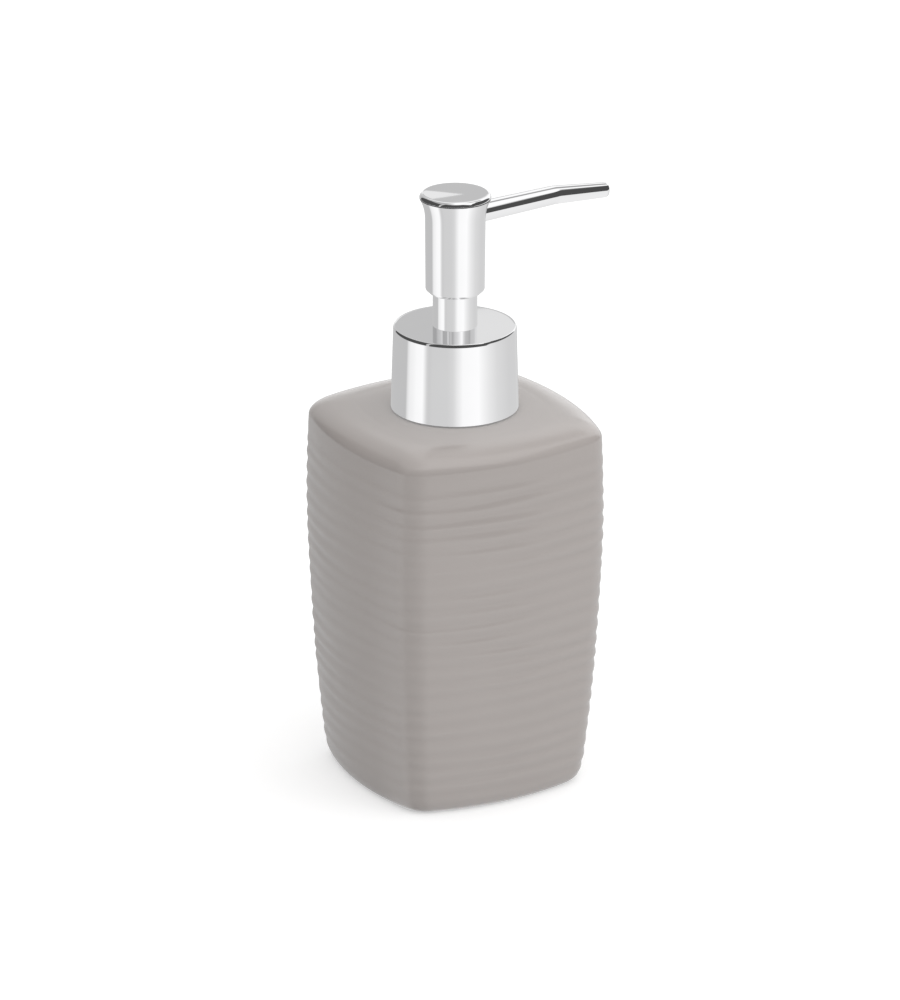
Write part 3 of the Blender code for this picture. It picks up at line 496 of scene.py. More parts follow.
def makeCollar():
    low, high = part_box("collar_shell")
    z0, z1 = low.z + collar["footLift"], high.z
    wall, edge, rim, hole = collar["wall"], collar["edgeIn"], collar["rim"], collar["hole"]
    flat, bore = rim - edge, collar["foot"] - wall
    footLine = rounded([(bore, z0, collar["footEdge"]), (collar["foot"], z0, collar["footEdge"]),
                        (rim, z1, 0)])[:-1]
    # A quarter of an ellipse takes the edge from the side into the top
    a = quarterTurn(18)[:-1]
    side = z1 - collar["crown"] - collar["edgeDown"]
    edgeLine = np.stack([flat + edge * np.cos(a), side + collar["edgeDown"] * np.sin(a)], 1)
    # The top is a very flat dome: it falls by crown times the share of the radius, squared
    r = np.linspace(flat, hole, 20)
    dome = np.stack([r, z1 - collar["crown"] * (r / flat)**2], 1)
    inner = rounded([(hole, z1 - wall, 0), (rim - wall, z1 - wall - collar["crown"], edge),
                     (bore, z0 + wall, 0)])
    piece = sharpen(turned("collar_chrome", np.concatenate([footLine, edgeLine, dome, inner]), 192))
    dress(piece, "collar", "bright_chrome", "collar_shell")
    # The sleeve mirrors the bright table and no collar
    piece.visible_glossy = False
    # The plating ends at the foot: the faces that look inwards or down take the near-black painted shade
    middle, facing = faceValues(piece, "center"), faceValues(piece, "normal")
    inward = (facing[:, :2] * middle[:, :2]).sum(axis=1) < 0
    bare = (inward | (facing[:, 2] < -0.5)) & (middle[:, 2] < z1 - 0.5 * wall)
    # Painted shade: the near-black inside and underside darken the gap under the foot
    addBare(piece, paintedShadePlastic, bare)


sleeve = lengths(wall=0.5, edge=0.25, rest=0.03)


def makeSleeve():
    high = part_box("guide_sleeve")[1]
    inner, foot = high.x - sleeve["wall"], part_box("collar_shell")[1].z + sleeve["rest"]
    corners = [(inner, foot, 0), (high.x, foot, 0), (high.x, high.z, sleeve["edge"]), (inner, high.z, 0)]
    turnedPiece("sleeve_chrome", corners, 128, "pump", "bright_chrome", "guide_sleeve", steps=6)


makeCollar()
makeSleeve()


# Head

# The cap's edge is part of an ellipse, which starts where its side leans in by edgeLean degrees
head = dict(
    lengths(
        low=8.35, high=8.5, rim=10.1, chamfer=1.0, wall=0.8, footEdge=0.15, chamferEdge=0.2, bodyEdge=0.5,
        flare=6.7, rimLift=0.5, seat=8.6, seatDepth=0.8, lipBore=6.45, lip=1.2, lipSlope=0.9, hole=3.22,
        holeFrom=4, holeTo=14, capGap=0.25, capPlay=0.3, edgeIn=1.2, edgeDown=1.5, edgeStep=0.05,
        dish=0.028),
    flareBend=2.3, edgeLean=12)


def makeHeadShell():
    low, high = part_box("head_shell")
    z0, z1, seatZ = low.z, high.z + head["rimLift"], high.z - head["seatDepth"]
    bore = head["low"] - head["wall"]
    # The flare's radius grows with a power of the share of its height
    t = np.linspace(0, 1, 28)
    flare = np.stack([head["high"] + (head["rim"] - head["high"]) * t**head["flareBend"],
                      z1 - head["flare"] * (1 - t)], 1)
    body = rounded([(head["lipBore"], z0, head["footEdge"]),
                    (head["low"] - head["chamfer"], z0, head["chamferEdge"]),
                    (head["low"], z0 + head["chamfer"], head["bodyEdge"]),
                    (head["high"], z1 - head["flare"], 0)])
    inside = rounded([(head["seat"], z1, 0), (head["seat"], seatZ, 0), (bore, seatZ, 0),
                      (bore, z0 + head["lip"] + head["lipSlope"], 0), (head["lipBore"], z0 + head["lip"], 0)])
    return sharpen(turned("head_chrome", np.concatenate([body[:-1], flare, inside]), 144))


def makeHeadCap():
    low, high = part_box("head_cap")
    top = high.z - head["dish"]
    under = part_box("head_shell")[1].z + head["rimLift"] + head["capGap"]
    seat = head["seat"] - head["capPlay"]
    # Part of an ellipse takes the rim into the top
    edgeIn, edgeDown = head["edgeIn"], head["edgeDown"]
    startAt = math.atan(edgeDown / edgeIn * math.tan(math.radians(head["edgeLean"])))
    flat = head["rim"] - edgeIn * math.cos(startAt)
    edgeDown = (top - under - head["edgeStep"]) / (1 - math.sin(startAt))
    a = np.linspace(startAt, math.pi / 2, 20)[:-1]
    edge = np.stack([flat + edgeIn * np.cos(a), top + edgeDown * (np.sin(a) - 1)], 1)
    # The top is a very flat dome: it falls by dish times the share of the radius, squared
    r = np.linspace(1, 0, 24)
    crown = np.stack([flat * r, high.z - head["dish"] * r**2], 1)
    foot = [(0, low.z), (seat, low.z), (seat, under), (edge[0, 0], under)]
    return sharpen(turned("head_cap_chrome", np.concatenate([foot, edge, crown]), 144))


spout = dict(
    lengths(
        drop=7.25, rise=1.65, bend=31.5, reach=48.78, fall=1.07, bendRadius=15, root=3.08, middle=2.72,
        tip=2.2, wall=0.5, lip=0.8),
    rows=24, bendRows=14, lipRows=9)

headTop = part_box("head_cap")[1].z


def spoutLine(reach):
    # Middle of the spout's first run, which rises slowly to the bend
    return Vector((reach, 0, headTop - spout["drop"] + spout["rise"] * reach / spout["bend"]))


def makeSpout():
    # A round section carried along two runs and the arc between them. Its rings stand square to the path,
    # go up the outside from root to tip, round the lip and back down the bore.
    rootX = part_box("spout_tube")[0].x
    root, bend = spoutLine(rootX), spoutLine(spout["bend"])
    tip = Vector((spout["reach"], 0, bend.z - spout["fall"]))
    first, second = (bend - root).normalized(), (tip - bend).normalized()
    cutBack = spout["bendRadius"] * math.tan(first.angle(second) / 2)
    centre = np.array(bend - first * cutBack + Vector((first.z, 0, -first.x)) * spout["bendRadius"])
    a0, a1 = math.atan2(first.z, first.x), math.atan2(second.z, second.x)
    a = np.linspace(a0, a1, spout["bendRows"])
    arc = centre + spout["bendRadius"] * np.stack([-np.sin(a), 0 * a, np.cos(a)], 1)
    share = np.linspace(0, 1, spout["rows"])[:, None]
    runIn = np.array(root) + (arc[0] - np.array(root)) * share
    runOut = arc[-1] + (np.array(tip) - arc[-1]) * share
    path = np.concatenate([runIn[:-1], arc, runOut[1:]])
    angle = np.concatenate([np.full(spout["rows"] - 1, a0), a, np.full(spout["rows"] - 1, a1)])
    radius = np.interp(path[:, 0], [rootX, spout["bend"], spout["reach"]],
                       [spout["root"], spout["middle"], spout["tip"]])
    # The lip is half an ellipse that ends at the tip, so that the tube isn't longer than its reach
    lip = np.linspace(0, math.pi, spout["lipRows"])[1:-1]
    half = spout["wall"] / 2
    end, ahead = path[-1], np.array([math.cos(a1), 0, math.sin(a1)])
    lipPath = end - ahead * spout["lip"] + ahead * (spout["lip"] * np.sin(lip))[:, None]
    lipRadius = radius[-1] - half + half * np.cos(lip)
    path[-1] = end - ahead * spout["lip"]
    path = np.concatenate([path, lipPath, path[::-1]])
    angle = np.concatenate([angle, np.full(len(lip), a1), angle[::-1]])
    radius = np.concatenate([radius, lipRadius, radius[::-1] - spout["wall"]])
    b = np.linspace(0, tau, 64, endpoint=False)[None, :, None]
    up = np.stack([-np.sin(angle), 0 * angle, np.cos(angle)], 1)[:, None]
    grid = path[:, None] + radius[:, None, None] * (np.cos(b) * np.array([0, -1, 0]) + np.sin(b) * up)
    return sharpen(gridObject("spout_chrome", grid[:, ::-1], ring=True), 50)


spoutHole = rodCutter(spoutLine(head["holeFrom"]), spoutLine(head["holeTo"]), head["hole"])
headShell = applyCut(makeHeadShell(), spoutHole)
dress(headShell, "head", "bright_chrome", "head_shell")
dress(makeHeadCap(), "head", "bright_chrome", "head_cap")
dress(makeSpout(), "head", "bright_chrome", "spout_tube")
print("chrome made")


# Screw parts: the neck insert and the cap inside the collar, and the gasket between them

screw = dict(
    lengths(pitch=4.2, ridge=0.55, ridgeWidth=2.2),
    turns=1.8, runIn=1 / 8, rows=84)


def threaded(name, corners, edge, wall, start, outward, columns=160):
    # A rounded outline, turned, with a screw ridge on its straight run at the radius wall. The ridge's
    # middle climbs by one pitch a turn from start. Across, it is a raised cosine, and it runs in and out
    # over a share of a turn.
    profile = rounded(corners, 4, edge)
    after = np.roll(profile, -1, 0)
    straight = (np.abs(profile[:, 0] - wall) < 1e-7) & (np.abs(after[:, 0] - wall) < 1e-7)
    i = int(np.argmax(straight * np.abs(after[:, 1] - profile[:, 1])))
    rows = np.linspace(profile[i], after[i], screw["rows"])[1:-1]
    profile = np.concatenate([profile[:i + 1], rows, profile[i + 1:]])
    a = np.linspace(0, tau, columns, endpoint=False)
    r, z = profile[:, 0, None], profile[:, 1, None]
    share = a[None] / tau
    along = share + np.round((z - start) / screw["pitch"] - share)
    off = (z - start - screw["pitch"] * along) / screw["ridgeWidth"]
    across = 0.5 + 0.5 * np.cos(np.clip(off, -0.5, 0.5) * tau)
    ends = (np.clip(along / screw["runIn"], 0, 1)
            * np.clip((screw["turns"] - along) / screw["runIn"], 0, 1))
    onWall = np.zeros((len(profile), 1))
    onWall[i + 1:i + 1 + len(rows)] = 1
    r = r + outward * screw["ridge"] * across * ends * onWall
    grid = np.stack([r * np.cos(a), r * np.sin(a), np.broadcast_to(z, r.shape)], -1)
    return sharpen(gridObject(name, grid, ring=True), 50)


neck = lengths(
    bore=10.4, tube=12.6, flange=15.2, flangeThickness=1.4, skirt=11.7, skirtLength=5.6, threadAt=4.6,
    edge=0.3, leadIn=0.5)


def makeNeck():
    low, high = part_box("threaded_neck")
    bore, skirt, flange, tube, edge = (neck[key] for key in ("bore", "skirt", "flange", "tube", "edge"))
    flangeZ = low.z + neck["skirtLength"]
    flangeTop = flangeZ + neck["flangeThickness"]
    corners = [
        (bore, low.z), (skirt, low.z, neck["leadIn"]), (skirt, flangeZ, 0), (flange, flangeZ),
        (flange, flangeTop), (tube, flangeTop), (tube, high.z, neck["leadIn"]), (bore, high.z)]
    piece = threaded("neck_insert", corners, edge, tube, flangeTop + neck["threadAt"], 1)
    dress(piece, "bottle", "white_plastic", "threaded_neck")


innerCap = lengths(bore=14.0, plateBore=9.6, plate=1.8, lean=0.56, threadAt=4.9, edge=0.3, shoulder=0.9)


def makeInnerCap():
    low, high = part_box("closure_cap")
    bore, plateBore, edge = innerCap["bore"], innerCap["plateBore"], innerCap["edge"]
    under = high.z - innerCap["plate"]
    corners = [
        (bore, low.z), (high.x, low.z), (high.x - innerCap["lean"], high.z, innerCap["shoulder"]),
        (plateBore, high.z), (plateBore, under), (bore, under)]
    piece = threaded("cap_inner", corners, edge, bore, low.z + innerCap["threadAt"], -1)
    dress(piece, "collar", "white_plastic", "closure_cap")


gasket = lengths(bore=9.2, edge=0.2)


def makeGasket():
    low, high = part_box("neck_gasket")
    bore, edge = gasket["bore"], gasket["edge"]
    corners = [(bore, low.z), (high.x, low.z), (high.x, high.z), (bore, high.z)]
    turnedPiece("gasket_ring", corners, 96, "pump", "grey_seal", "neck_gasket", edge)


makeNeck()
makeInnerCap()
makeGasket()
print("screw parts made")


# Pump inside the bottle

housing = lengths(
    flange=12.9, flangeThickness=1.5, cylinder=6.6, wall=1.0, depth=47.3, chamber=3.4, chamberDepth=4.0,
    seatDepth=2.5, inlet=1.5, inletLength=1.0, socketBore=3.3, socket=4.6, edge=0.3, innerEdge=0.2,
    inletEdge=0.1)


def makeHousing():
    low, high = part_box("pump_housing")
    edge, innerEdge, inletEdge = housing["edge"], housing["innerEdge"], housing["inletEdge"]
    cylinder, outer = housing["cylinder"], housing["cylinder"] + housing["wall"]
    bore, socket, inlet = housing["socketBore"], housing["socket"], housing["inlet"]
    under, floor = high.z - housing["flangeThickness"], high.z - housing["depth"]
    chamber = floor - housing["chamberDepth"]
    seat = chamber - housing["seatDepth"]
    socketTop = seat - housing["inletLength"]
    corners = [
        (bore, low.z), (socket, low.z), (socket, chamber, 1.0 * mm), (outer, floor, 1.2 * mm),
        (outer, under, 0.8 * mm), (housing["flange"], under), (housing["flange"], high.z),
        (cylinder, high.z), (cylinder, floor, innerEdge), (housing["chamber"], floor, innerEdge),
        (housing["chamber"], chamber, innerEdge), (inlet, seat, inletEdge), (inlet, socketTop, inletEdge),
        (bore, socketTop, innerEdge)]
    turnedPiece("housing_cylinder", corners, 128, "pump", "milky_plastic", "pump_housing", edge, 5)


dipTube = dict(
    lengths(bore=2.2, edge=0.12),
    slant=35, rows=40)


def makeDipTube():
    # Rings from the slanted foot to the top, up the outside and down the bore, with the four edges drawn in.
    # The foot's plane falls by the tangent of the slant for each step towards the spout.
    low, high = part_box("dip_tube")
    edge, radius, bore, rows = dipTube["edge"], high.x, dipTube["bore"], dipTube["rows"]
    slope = math.tan(math.radians(dipTube["slant"]))
    share = np.linspace(0, 1, rows)
    wall = np.concatenate([[radius - edge], np.full(rows, radius), [radius - edge], [bore + edge],
                           np.full(rows, bore), [bore + edge]])
    rise = np.concatenate([[0], share, [1], [1], share[::-1], [0]])
    trim = np.zeros(len(rise))
    trim[[1, -2]] = edge
    trim[[rows, rows + 3]] = -edge
    a = np.linspace(0, tau, 64, endpoint=False)
    x, y = wall[:, None] * np.cos(a), wall[:, None] * np.sin(a)
    slanted = low.z + radius * slope - x * slope
    grid = np.stack([x, y, slanted + (high.z - slanted) * rise[:, None] + trim[:, None]], -1)
    piece = sharpen(gridObject("tube_suction", grid, ring=True))
    dress(piece, "pump", "milky_plastic", "dip_tube")


lockRing = lengths(
    disc=9.3, discThickness=1.4, skirt=6.3, skirtLength=8.0, neck=5.5, way=3.5, pocket=5.2, pocketDepth=2.4,
    edge=0.25, neckEdge=0.5)


def makeLockRing():
    low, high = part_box("locking_ring")
    edge, disc, skirt, way = lockRing["edge"], lockRing["disc"], lockRing["skirt"], lockRing["way"]
    pocket, neckRadius = lockRing["pocket"], lockRing["neck"]
    discLow = low.z + lockRing["skirtLength"]
    discTop = discLow + lockRing["discThickness"]
    pocketTop = low.z + lockRing["pocketDepth"]
    corners = [
        (pocket, low.z), (skirt, low.z), (skirt, discLow), (disc, discLow), (disc, discTop),
        (neckRadius, discTop), (neckRadius, high.z, lockRing["neckEdge"]), (way, high.z), (way, pocketTop),
        (pocket, pocketTop)]
    turnedPiece("lock_ring", corners, 96, "pump", "white_plastic", "locking_ring", edge)


wiper = lengths(bore=3.5, edge=0.2, lipEdge=0.15, groove=0.25, tip=0.1)


def makeWiper():
    # A ring with a groove on top, so that its inner lip presses on the stem
    low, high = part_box("stem_wiper")
    bore, edge, lipEdge, groove = wiper["bore"], wiper["edge"], wiper["lipEdge"], wiper["groove"]
    middle, lip = (low.z + high.z) / 2, (high.x - bore) / 3
    corners = [
        (bore, low.z), (high.x, low.z), (high.x, high.z), (high.x - lip, high.z, lipEdge),
        (high.x - lip, middle, groove), (bore + lip, middle, groove), (bore + lip, high.z, lipEdge),
        (bore, high.z, wiper["tip"])]
    turnedPiece("wiper_ring", corners, 72, "pump", "grey_seal", "stem_wiper", edge)


piston = lengths(
    inner=3.5, waist=5.1, lip=1.8, edge=0.1, groove=0.2, lipEdge=0.15, lipRound=0.3, waistRound=0.8)


def makePiston():
    # Two lips flare out from a waist to the cylinder's wall
    low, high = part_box("piston")
    outer, inner, waist, lip = high.x, piston["inner"], piston["waist"], piston["lip"]
    edge, groove, lipEdge, lipRound = (piston[key] for key in ("edge", "groove", "lipEdge", "lipRound"))
    thin = (outer - waist) / 2
    corners = [
        (inner, low.z + lip / 2), (waist, low.z + lip / 2, groove), (outer - thin, low.z),
        (outer, low.z, lipEdge), (outer, low.z + lip / 2, lipRound),
        (waist, low.z + 2 * lip, piston["waistRound"]), (waist, high.z - 2 * lip, piston["waistRound"]),
        (outer, high.z - lip / 2, lipRound), (outer, high.z, lipEdge), (outer - thin, high.z),
        (waist, high.z - lip / 2, groove), (inner, high.z - lip / 2)]
    turnedPiece("piston_seal", corners, 96, "plunger", "milky_plastic", "piston", edge)


stem = lengths(bore=1.9, boreEdge=0.2, edge=0.25)


def makeStem():
    low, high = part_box("stem")
    bore, boreEdge, edge = stem["bore"], stem["boreEdge"], stem["edge"]
    corners = [(bore, low.z, boreEdge), (high.x, low.z), (high.x, high.z), (bore, high.z, boreEdge)]
    turnedPiece("stem_tube", corners, 72, "head", "white_plastic", "stem", edge)


def makeBall():
    # Half a circle, turned
    low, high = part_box("inlet_ball")
    a = np.linspace(-math.pi / 2, math.pi / 2, 41)
    radius, middle = (high.z - low.z) / 2, (high.z + low.z) / 2
    profile = np.stack([radius * np.cos(a), middle + radius * np.sin(a)], 1)
    profile[[0, -1], 0] = 0
    dress(turned("ball_steel", profile, 64), "valve", "polished_steel", "inlet_ball")


spring = dict(
    lengths(radius=4.6, wire=0.45, closedPitch=0.93, fixedEnd=84.3, stroke=9.5),
    turns=9, closed=1.0, rowsPerTurn=44, columns=14)


def makeSpring():
    # The wire's centre goes round at a fixed radius. It climbs by closedPitch a turn in the closed turn at
    # each end and evenly between them. A circle is carried along it, and shrinks to a point at both ends.
    low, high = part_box("return_spring")
    wire, turns, closed, coil = spring["wire"], spring["turns"], spring["closed"], spring["radius"]
    lowZ, highZ = low.z + wire, high.z - wire
    t = np.linspace(0, turns, turns * spring["rowsPerTurn"] + 1)
    rise = closed * spring["closedPitch"]
    z = np.interp(t, [0, closed, turns - closed, turns], [lowZ, lowZ + rise, highZ - rise, highZ])
    around = t * tau
    out = np.stack([np.cos(around), np.sin(around), 0 * around], 1)
    climb = np.gradient(z) / (np.gradient(t) * tau * coil)
    up = np.stack([climb * np.sin(around), -climb * np.cos(around), np.ones(len(t))], 1)
    up = up / np.linalg.norm(up, axis=1)[:, None]
    centre = out * coil + np.stack([0 * z, 0 * z, z], 1)
    centre, out, up = (np.concatenate([v[:1], v, v[-1:]]) for v in (centre, out, up))
    radius = np.concatenate([[0], np.full(len(t), wire), [0]])
    b = np.linspace(0, tau, spring["columns"], endpoint=False)[None, :, None]
    grid = centre[:, None] + radius[:, None, None] * (np.cos(b) * out[:, None] + np.sin(b) * up[:, None])
    piece = sharpen(gridObject("spring_coil", grid[:, ::-1]), 50)
    dress(piece, "pump", "spring_steel", "return_spring")
    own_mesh(piece)


cage = lengths(hole=1.2, edge=0.25, slotLength=5.6, slotWidth=1)
overrun = 1 * mm  # how far a cutter runs past what it cuts


def makeCage():
    # The spring's lower seat, with a cross of slots that the ball can't close
    low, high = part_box("ball_cage")
    hole, edge, long, thin = cage["hole"], cage["edge"], cage["slotLength"], cage["slotWidth"]
    corners = [(hole, low.z, 0), (high.x, low.z), (high.x, high.z), (hole, high.z, 0)]
    piece = turned("cage_disc", rounded(corners, 4, edge), 96)
    centre, deep = (0, 0, (low.z + high.z) / 2), high.z - low.z + overrun
    piece = applyCut(piece, boxCutter(centre, (long, thin, deep)))
    piece = applyCut(piece, boxCutter(centre, (thin, long, deep)))
    dress(piece, "pump", "white_plastic", "ball_cage")


rod = lengths(
    spigot=3.6, spigotTaper=1.4, spigotLength=4.0, flange=5.6, flangeThickness=1.4, collar=2.9,
    collarHeight=3.6, plug=1.6, slot=1.0, slotLift=0.3, slotRun=8, edge=0.2, nose=0.3, plugNose=0.4)


def makeRod():
    # The plug under the piston: a spring guide, a flange, and a split pin inside the stem
    low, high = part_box("piston_rod")
    spigot, flange, neckRadius = rod["spigot"], rod["flange"], rod["collar"]
    plug, edge = rod["plug"], rod["edge"]
    flangeLow = low.z + rod["spigotLength"]
    flangeTop = flangeLow + rod["flangeThickness"]
    collarTop = flangeTop + rod["collarHeight"]
    corners = [
        (0, low.z, 0), (spigot - rod["spigotTaper"], low.z, rod["nose"]), (spigot, flangeLow),
        (flange, flangeLow), (flange, flangeTop), (neckRadius, flangeTop), (neckRadius, collarTop),
        (plug, collarTop), (plug, high.z, rod["plugNose"]), (0, high.z, 0)]
    slotLow, slotHigh = flangeTop + rod["slotLift"], high.z + overrun
    size = (rod["slotRun"], rod["slot"], slotHigh - slotLow)
    slot = boxCutter((0, 0, (slotLow + slotHigh) / 2), size)
    piece = applyCut(turned("rod_plug", rounded(corners, 4, edge), 72), slot)
    dress(piece, "head", "white_plastic", "piston_rod")


core = lengths(stemHole=3.5, stemDepth=4, way=1.9, spoutDepth=3.7, edge=0.3, holeEdge=0.25, floorEdge=0.2)


def makeCore():
    # The block in the head: the stem plugs in from below and the spout from the side
    low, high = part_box("head_core")
    hole, way, edge, axis = core["stemHole"], core["way"], core["edge"], spoutLine(0)
    floor, spoutEnd = low.z + core["stemDepth"], high.x - core["spoutDepth"]
    corners = [
        (0, floor, 0), (hole, floor, core["floorEdge"]), (hole, low.z, core["holeEdge"]), (high.x, low.z),
        (high.x, high.z), (0, high.z, 0)]
    block = turned("core_block", rounded(corners, 4, edge), 96)
    block = applyCut(block, rodCutter(spoutLine(spoutEnd), spoutLine(high.x + overrun), head["hole"]))
    block = applyCut(block, rodCutter((0, 0, floor - overrun), (0, 0, axis.z + way / 2), way))
    block = applyCut(block, rodCutter(axis, spoutLine(spoutEnd + overrun), way))
    dress(block, "head", "white_plastic", "head_core")


for makePiece in (makeHousing, makeDipTube, makeLockRing, makeWiper, makePiston, makeStem, makeBall,
                  makeSpring, makeCage, makeRod, makeCore):
    makePiece()
print("pump made")


# Studio

studio = {
    "keyPower": 6.0, "keySize": 1.6, "keyFrom": (1.3, -1.9, 1.3), "keyAt": (0, 0, 0.09),
    # Diffuse light: its level, how much it gains towards the zenith and towards one side
    "fill": 0.56, "fillUp": 0.73, "fillSide": 0.36, "sideWay": (0.6, -0.8, 0.0),
    "floorColour": (0.67, 0.67, 0.67), "floorGlow": 0.44, "floorDrop": 0.05 * mm,
    "floorRings": (0, 0.15, 0.4, 1, 2, 4), "floorColumns": 96,
    # What the mirror sees of the table: (turn from the camera, brightness)
    "bands": [(-180, 0.56), (-102, 0.56), (-98, 0.80), (-92, 0.93), (-84, 0.97), (-76, 1.03), (-62, 1.05),
        (-57, 0.85), (-53, 0.69), (-49, 0.642), (-42, 0.67), (-14, 0.68), (-4, 0.725), (0, 0.78), (4, 0.86),
        (10, 0.95), (15, 1.03), (45, 1.066), (50, 1.01), (58, 0.94), (67, 0.867), (76, 0.815), (86, 0.755),
        (97, 0.73), (110, 0.70), (120, 0.68), (150, 0.675), (165, 0.70), (180, 0.60)],
    # How high the dark room reaches, and where the table ends under it: (turn, degrees)
    "darkTop": [(-180, 0), (-140, 0), (-134, 36), (-120, 48), (-100, 50), (-55, 50), (-54, 0), (-47, 0),
        (-46, 58), (36, 58), (46, 45), (54, 33), (60.5, 33.5), (62.6, 38), (64.5, 41.3), (66.5, 44.3),
        (77, 45), (81, 46), (85, 46.5), (89, 48), (94, 50.5), (100, 51.5), (106, 50.5), (112, 45), (118, 37),
        (130, 26), (140, 0), (180, 0)],
    "darkLow": [(-180, -8), (57.7, -10), (58.4, -16), (59.3, -20), (60.4, -16), (61.5, -3), (62, -4),
        (68, 2), (110, 2), (130, 0), (180, -8)],
    "dark": 0.075, "darkFrom": (0.5, 6), "white": 1.08,
    # The roof over the dark room: (turn, brightness)
    "roof": [(-180, 0.80), (-140, 0.50), (-120, 0.46), (-62, 0.50), (-40, 0.62), (-25, 0.82), (-12, 1.0),
        (0, 1.08), (180, 1.08)],
    # What a second mirroring sees: (turn from the camera, brightness)
    "again": [(-180, 0.55), (-150, 0.42), (-115, 0.42), (-100, 0.58), (-80, 0.66), (-70, 0.76), (-64, 0.45),
        (-41, 0.48), (-38, 0.76), (-34, 0.76), (-31, 0.50), (-20, 0.62), (-14, 0.46), (-8, 0.52), (0, 0.66),
        (12, 0.76), (25, 0.95), (33, 1.1), (38, 1.1), (46, 0.80), (58, 0.58), (75, 0.52), (84, 0.46),
        (90, 0.62), (120, 0.66), (135, 0.80), (180, 0.80)],
    # The wall behind the object, which the level tops mirror: a grey and a pale half over the split
    # height, and a bright wedge below it with its point at wedgeAt, open to the left
    "backLeft": 0.56, "backRight": 0.80, "split": 19.05, "wedge": 0.86, "wedgeAt": (0.174, 18.42),
    "wedgeSlopes": (0.508, 0.688), "wallHeights": (13.0, 29.0), "rear": (160, 170),
    # A dark line over the wall on the spout's side
    "line": 0.40, "lineHeights": (44, 67), "lineTurns": (126, 159),
    # How far edges soften, in degrees
    "soft": {"halves": 0.15, "split": 0.02, "wedge": 0.04, "wall": 1, "lineTurn": 3, "lineHeight": 2,
             "dark": 1},
    # What fits each curve to a ramp: its values are (scale, shift)
    "ranges": {"bands": (1.1, 0), "roof": (1.1, 0), "again": (1.2, 0), "darkTop": (60, 0),
               "darkLow": (40, 10)}}

camera = {"azimuth": -28.82, "elevation": 23.32, "distance": 1.885, "aimSide": -1.25 * mm,
          "aimHeight": 82.2 * mm, "roll": 0.168, "lens": 234.4}


def addItem(name, data):
    item = bpy.data.objects.new(name, data)
    bpy.context.scene.collection.objects.link(item)
    item.rotation_mode = "QUATERNION"
    return item


def makeCamera():
    az, el = math.radians(camera["azimuth"]), math.radians(camera["elevation"])
    way = Vector((math.sin(az) * math.cos(el), -math.cos(az) * math.cos(el), math.sin(el)))
    eye = camera["distance"] * way
    aim = Vector((math.cos(az), math.sin(az), 0)) * camera["aimSide"] + Vector((0, 0, camera["aimHeight"]))
    look = (aim - eye).normalized()
    data = bpy.data.cameras.new("camera")
    data.lens = camera["lens"]
    data.clip_start, data.clip_end = 0.1, 20
    item = addItem("camera", data)
    item.rotation_quaternion = Quaternion(look, math.radians(-camera["roll"])) @ look.to_track_quat("-Z", "Y")
    item.location = eye
    bpy.context.scene.camera = item


def makeLamp():
    data = bpy.data.lights.new("key", "AREA")
    data.shape, data.size, data.energy = "DISK", studio["keySize"], studio["keyPower"]
    lamp = addItem("key", data)
    lamp.location = studio["keyFrom"]
    way = Vector(studio["keyAt"]) - Vector(studio["keyFrom"])
    lamp.rotation_quaternion = way.to_track_quat("-Z", "Y")
    lamp.visible_glossy = False


def curveOf(tree, turn, name):
    # The studio's curve of that name over the turn, through its listed points. A ramp holds the values
    # plus shift as shares of scale.
    scale, shift = studio["ranges"][name]
    ramp = addNode(tree, "ShaderNodeValToRGB", {"Fac": maths(tree, "MULTIPLY_ADD", turn, 1 / 360, 0.5)})
    elements = ramp.color_ramp.elements
    while len(elements) > 1:
        elements.remove(elements[-1])
    elements[0].position = studio[name][0][0] / 360 + 0.5
    for i, (degrees, value) in enumerate(studio[name]):
        item = elements[0] if i == 0 else elements.new(degrees / 360 + 0.5)
        item.color = ((value + shift) / scale,) * 3 + (1,)
    return maths(tree, "MULTIPLY_ADD", ramp.outputs["Color"], scale, -shift)


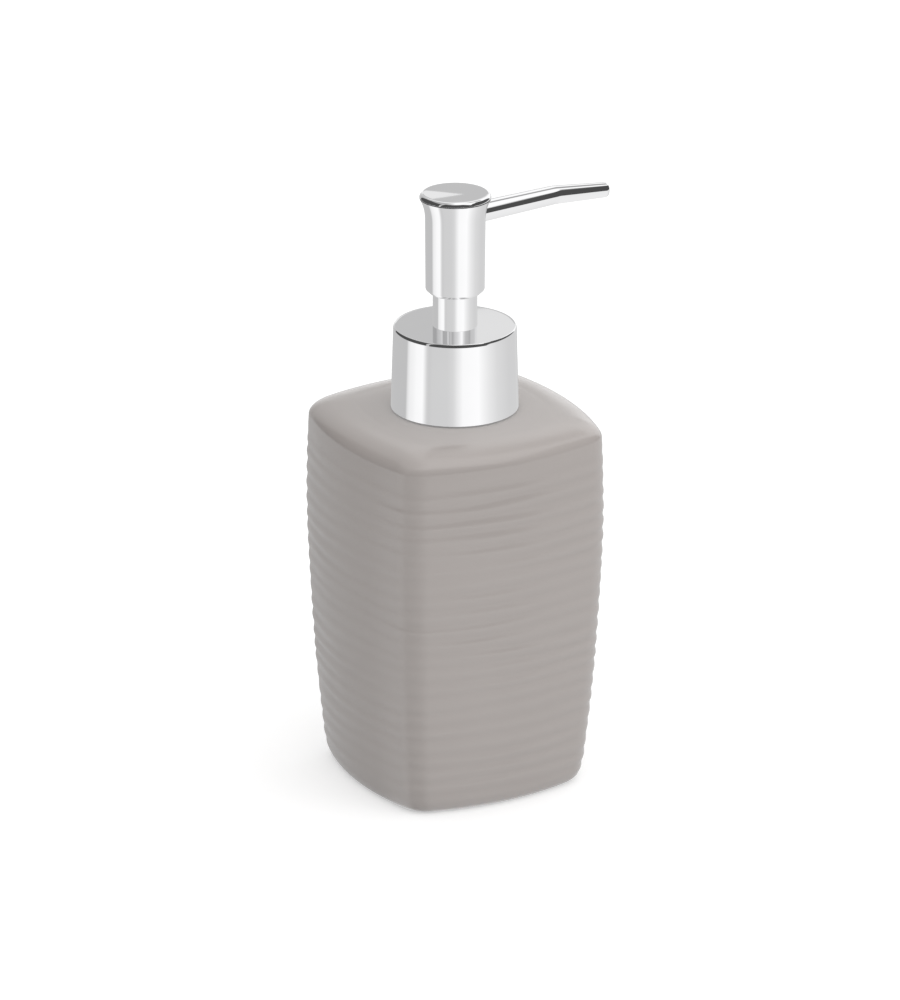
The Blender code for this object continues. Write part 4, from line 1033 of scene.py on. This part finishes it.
def makeWorld():
    # The camera sees plain white, and diffuse light gains a little towards the zenith and one side. Only
    # mirrored rays see the studio: a banded table below the horizon, a dark room behind the camera, a
    # pale roof, and a low grey wall behind the object.
    world = bpy.data.worlds.new("studio")
    bpy.context.scene.world = world
    world.use_nodes = True
    world.cycles.sampling_method = "NONE"
    tree = world.node_tree
    tree.nodes.clear()

    def doing(operation):
        return lambda *values: maths(tree, operation, *values)

    times, plus, minus, arcOf = (doing(name) for name in ("MULTIPLY", "ADD", "SUBTRACT", "ARCTAN2"))
    degrees = 180 / math.pi
    soft = studio["soft"]
    way = addNode(tree, "ShaderNodeTexCoord").outputs["Generated"]
    spin = addNode(tree, "ShaderNodeVectorRotate",
                   {"Vector": way, "Angle": math.radians(90 - camera["azimuth"])}, rotation_type="Z_AXIS")
    ahead, across, up = addNode(tree, "ShaderNodeSeparateXYZ", {0: spin.outputs[0]}).outputs
    turn = times(arcOf(across, ahead), degrees)
    away = times(arcOf(across, times(ahead, -1.0)), degrees)
    height = times(maths(tree, "ARCSINE", up), degrees)
    # The table's bands follow the turn of the surface that mirrors them, so they run straight up a flare
    lean = plus(ahead, math.cos(math.radians(camera["elevation"])))
    table = curveOf(tree, times(arcOf(across, lean), 2 * degrees), "bands")
    halves = step(tree, away, -soft["halves"], soft["halves"], studio["backLeft"], studio["backRight"])
    apex, apexHeight = studio["wedgeAt"]
    backSlope, frontSlope = studio["wedgeSlopes"]
    over, left = minus(height, apexHeight), minus(apex, away)
    inWedge = maths(tree, "MINIMUM", plus(times(left, backSlope), over), minus(times(left, frontSlope), over))
    wedge = step(tree, inWedge, 0, soft["wedge"], studio["backLeft"], studio["wedge"])
    aboveSplit = step(tree, height, studio["split"] - soft["split"], studio["split"] + soft["split"])
    wall = blend(tree, aboveSplit, wedge, halves)
    # The wall is low, so that the soft sheen of the glaze beside the collar is mostly the pale room above
    onWall = within(tree, height, *studio["wallHeights"], soft["wall"])
    room = blend(tree, onWall, studio["white"], wall)
    atRear = step(tree, maths(tree, "ABSOLUTE", turn), *studio["rear"])
    sides = blend(tree, atRear, curveOf(tree, turn, "roof"), room)
    onLine = times(within(tree, turn, *studio["lineTurns"], soft["lineTurn"]),
                   within(tree, height, *studio["lineHeights"], soft["lineHeight"]))
    sides = blend(tree, onLine, sides, studio["line"])
    darkTop = curveOf(tree, turn, "darkTop")
    isDark = times(step(tree, minus(height, darkTop), soft["dark"], -soft["dark"]),
                   step(tree, darkTop, *studio["darkFrom"]))
    upper = blend(tree, isDark, sides, studio["dark"])
    overTable = minus(height, curveOf(tree, turn, "darkLow"))
    view = blend(tree, step(tree, overTable, -soft["dark"], soft["dark"]), table, upper)
    rays = addNode(tree, "ShaderNodeLightPath").outputs
    mirrored = times(rays["Is Glossy Ray"], maths(tree, "LESS_THAN", rays["Diffuse Depth"], 0.5))
    isSecond = maths(tree, "GREATER_THAN", rays["Glossy Depth"], 1.5)
    view = blend(tree, isSecond, view, curveOf(tree, turn, "again"))
    side = addNode(tree, "ShaderNodeVectorMath", {0: way, 1: studio["sideWay"]}, operation="DOT_PRODUCT")
    fill = maths(tree, "MULTIPLY_ADD", up, studio["fillUp"], studio["fill"])
    fill = plus(fill, times(side.outputs["Value"], studio["fillSide"]))
    grey = blend(tree, mirrored, maths(tree, "MAXIMUM", fill, 0.0), view)
    grey = blend(tree, rays["Is Camera Ray"], grey, 1.0)
    background = addNode(tree, "ShaderNodeBackground", {"Color": grey, "Strength": 1.0})
    out = addNode(tree, "ShaderNodeOutputWorld")
    tree.links.new(background.outputs[0], out.inputs[0])


def makeFloor():
    # A pale round floor. It isn't mirrored, because mirrored rays see the studio's own table.
    r = np.array(studio["floorRings"])[:, None]
    a = np.linspace(0, -tau, studio["floorColumns"], endpoint=False)
    z = np.full((len(r), len(a)), -studio["floorDrop"])
    floor = gridObject("floor", np.stack([r * np.cos(a), r * np.sin(a), z], -1))
    material, tree, shader = newMaterial("paleFloor", Roughness=1.0, Specular_IOR_Level=0.0,
                                         Base_Color=(*studio["floorColour"], 1),
                                         Emission_Color=(1, 1, 1, 1))[:3]
    seen = addNode(tree, "ShaderNodeLightPath").outputs["Is Camera Ray"]
    glow = maths(tree, "MULTIPLY", seen, studio["floorGlow"])
    tree.links.new(glow, shader.inputs["Emission Strength"])
    floor.data.materials.append(material)
    floor.visible_glossy = False


makeCamera()
makeWorld()
makeFloor()
makeLamp()
bpy.context.scene.view_settings.view_transform = "Standard"
print("studio made")
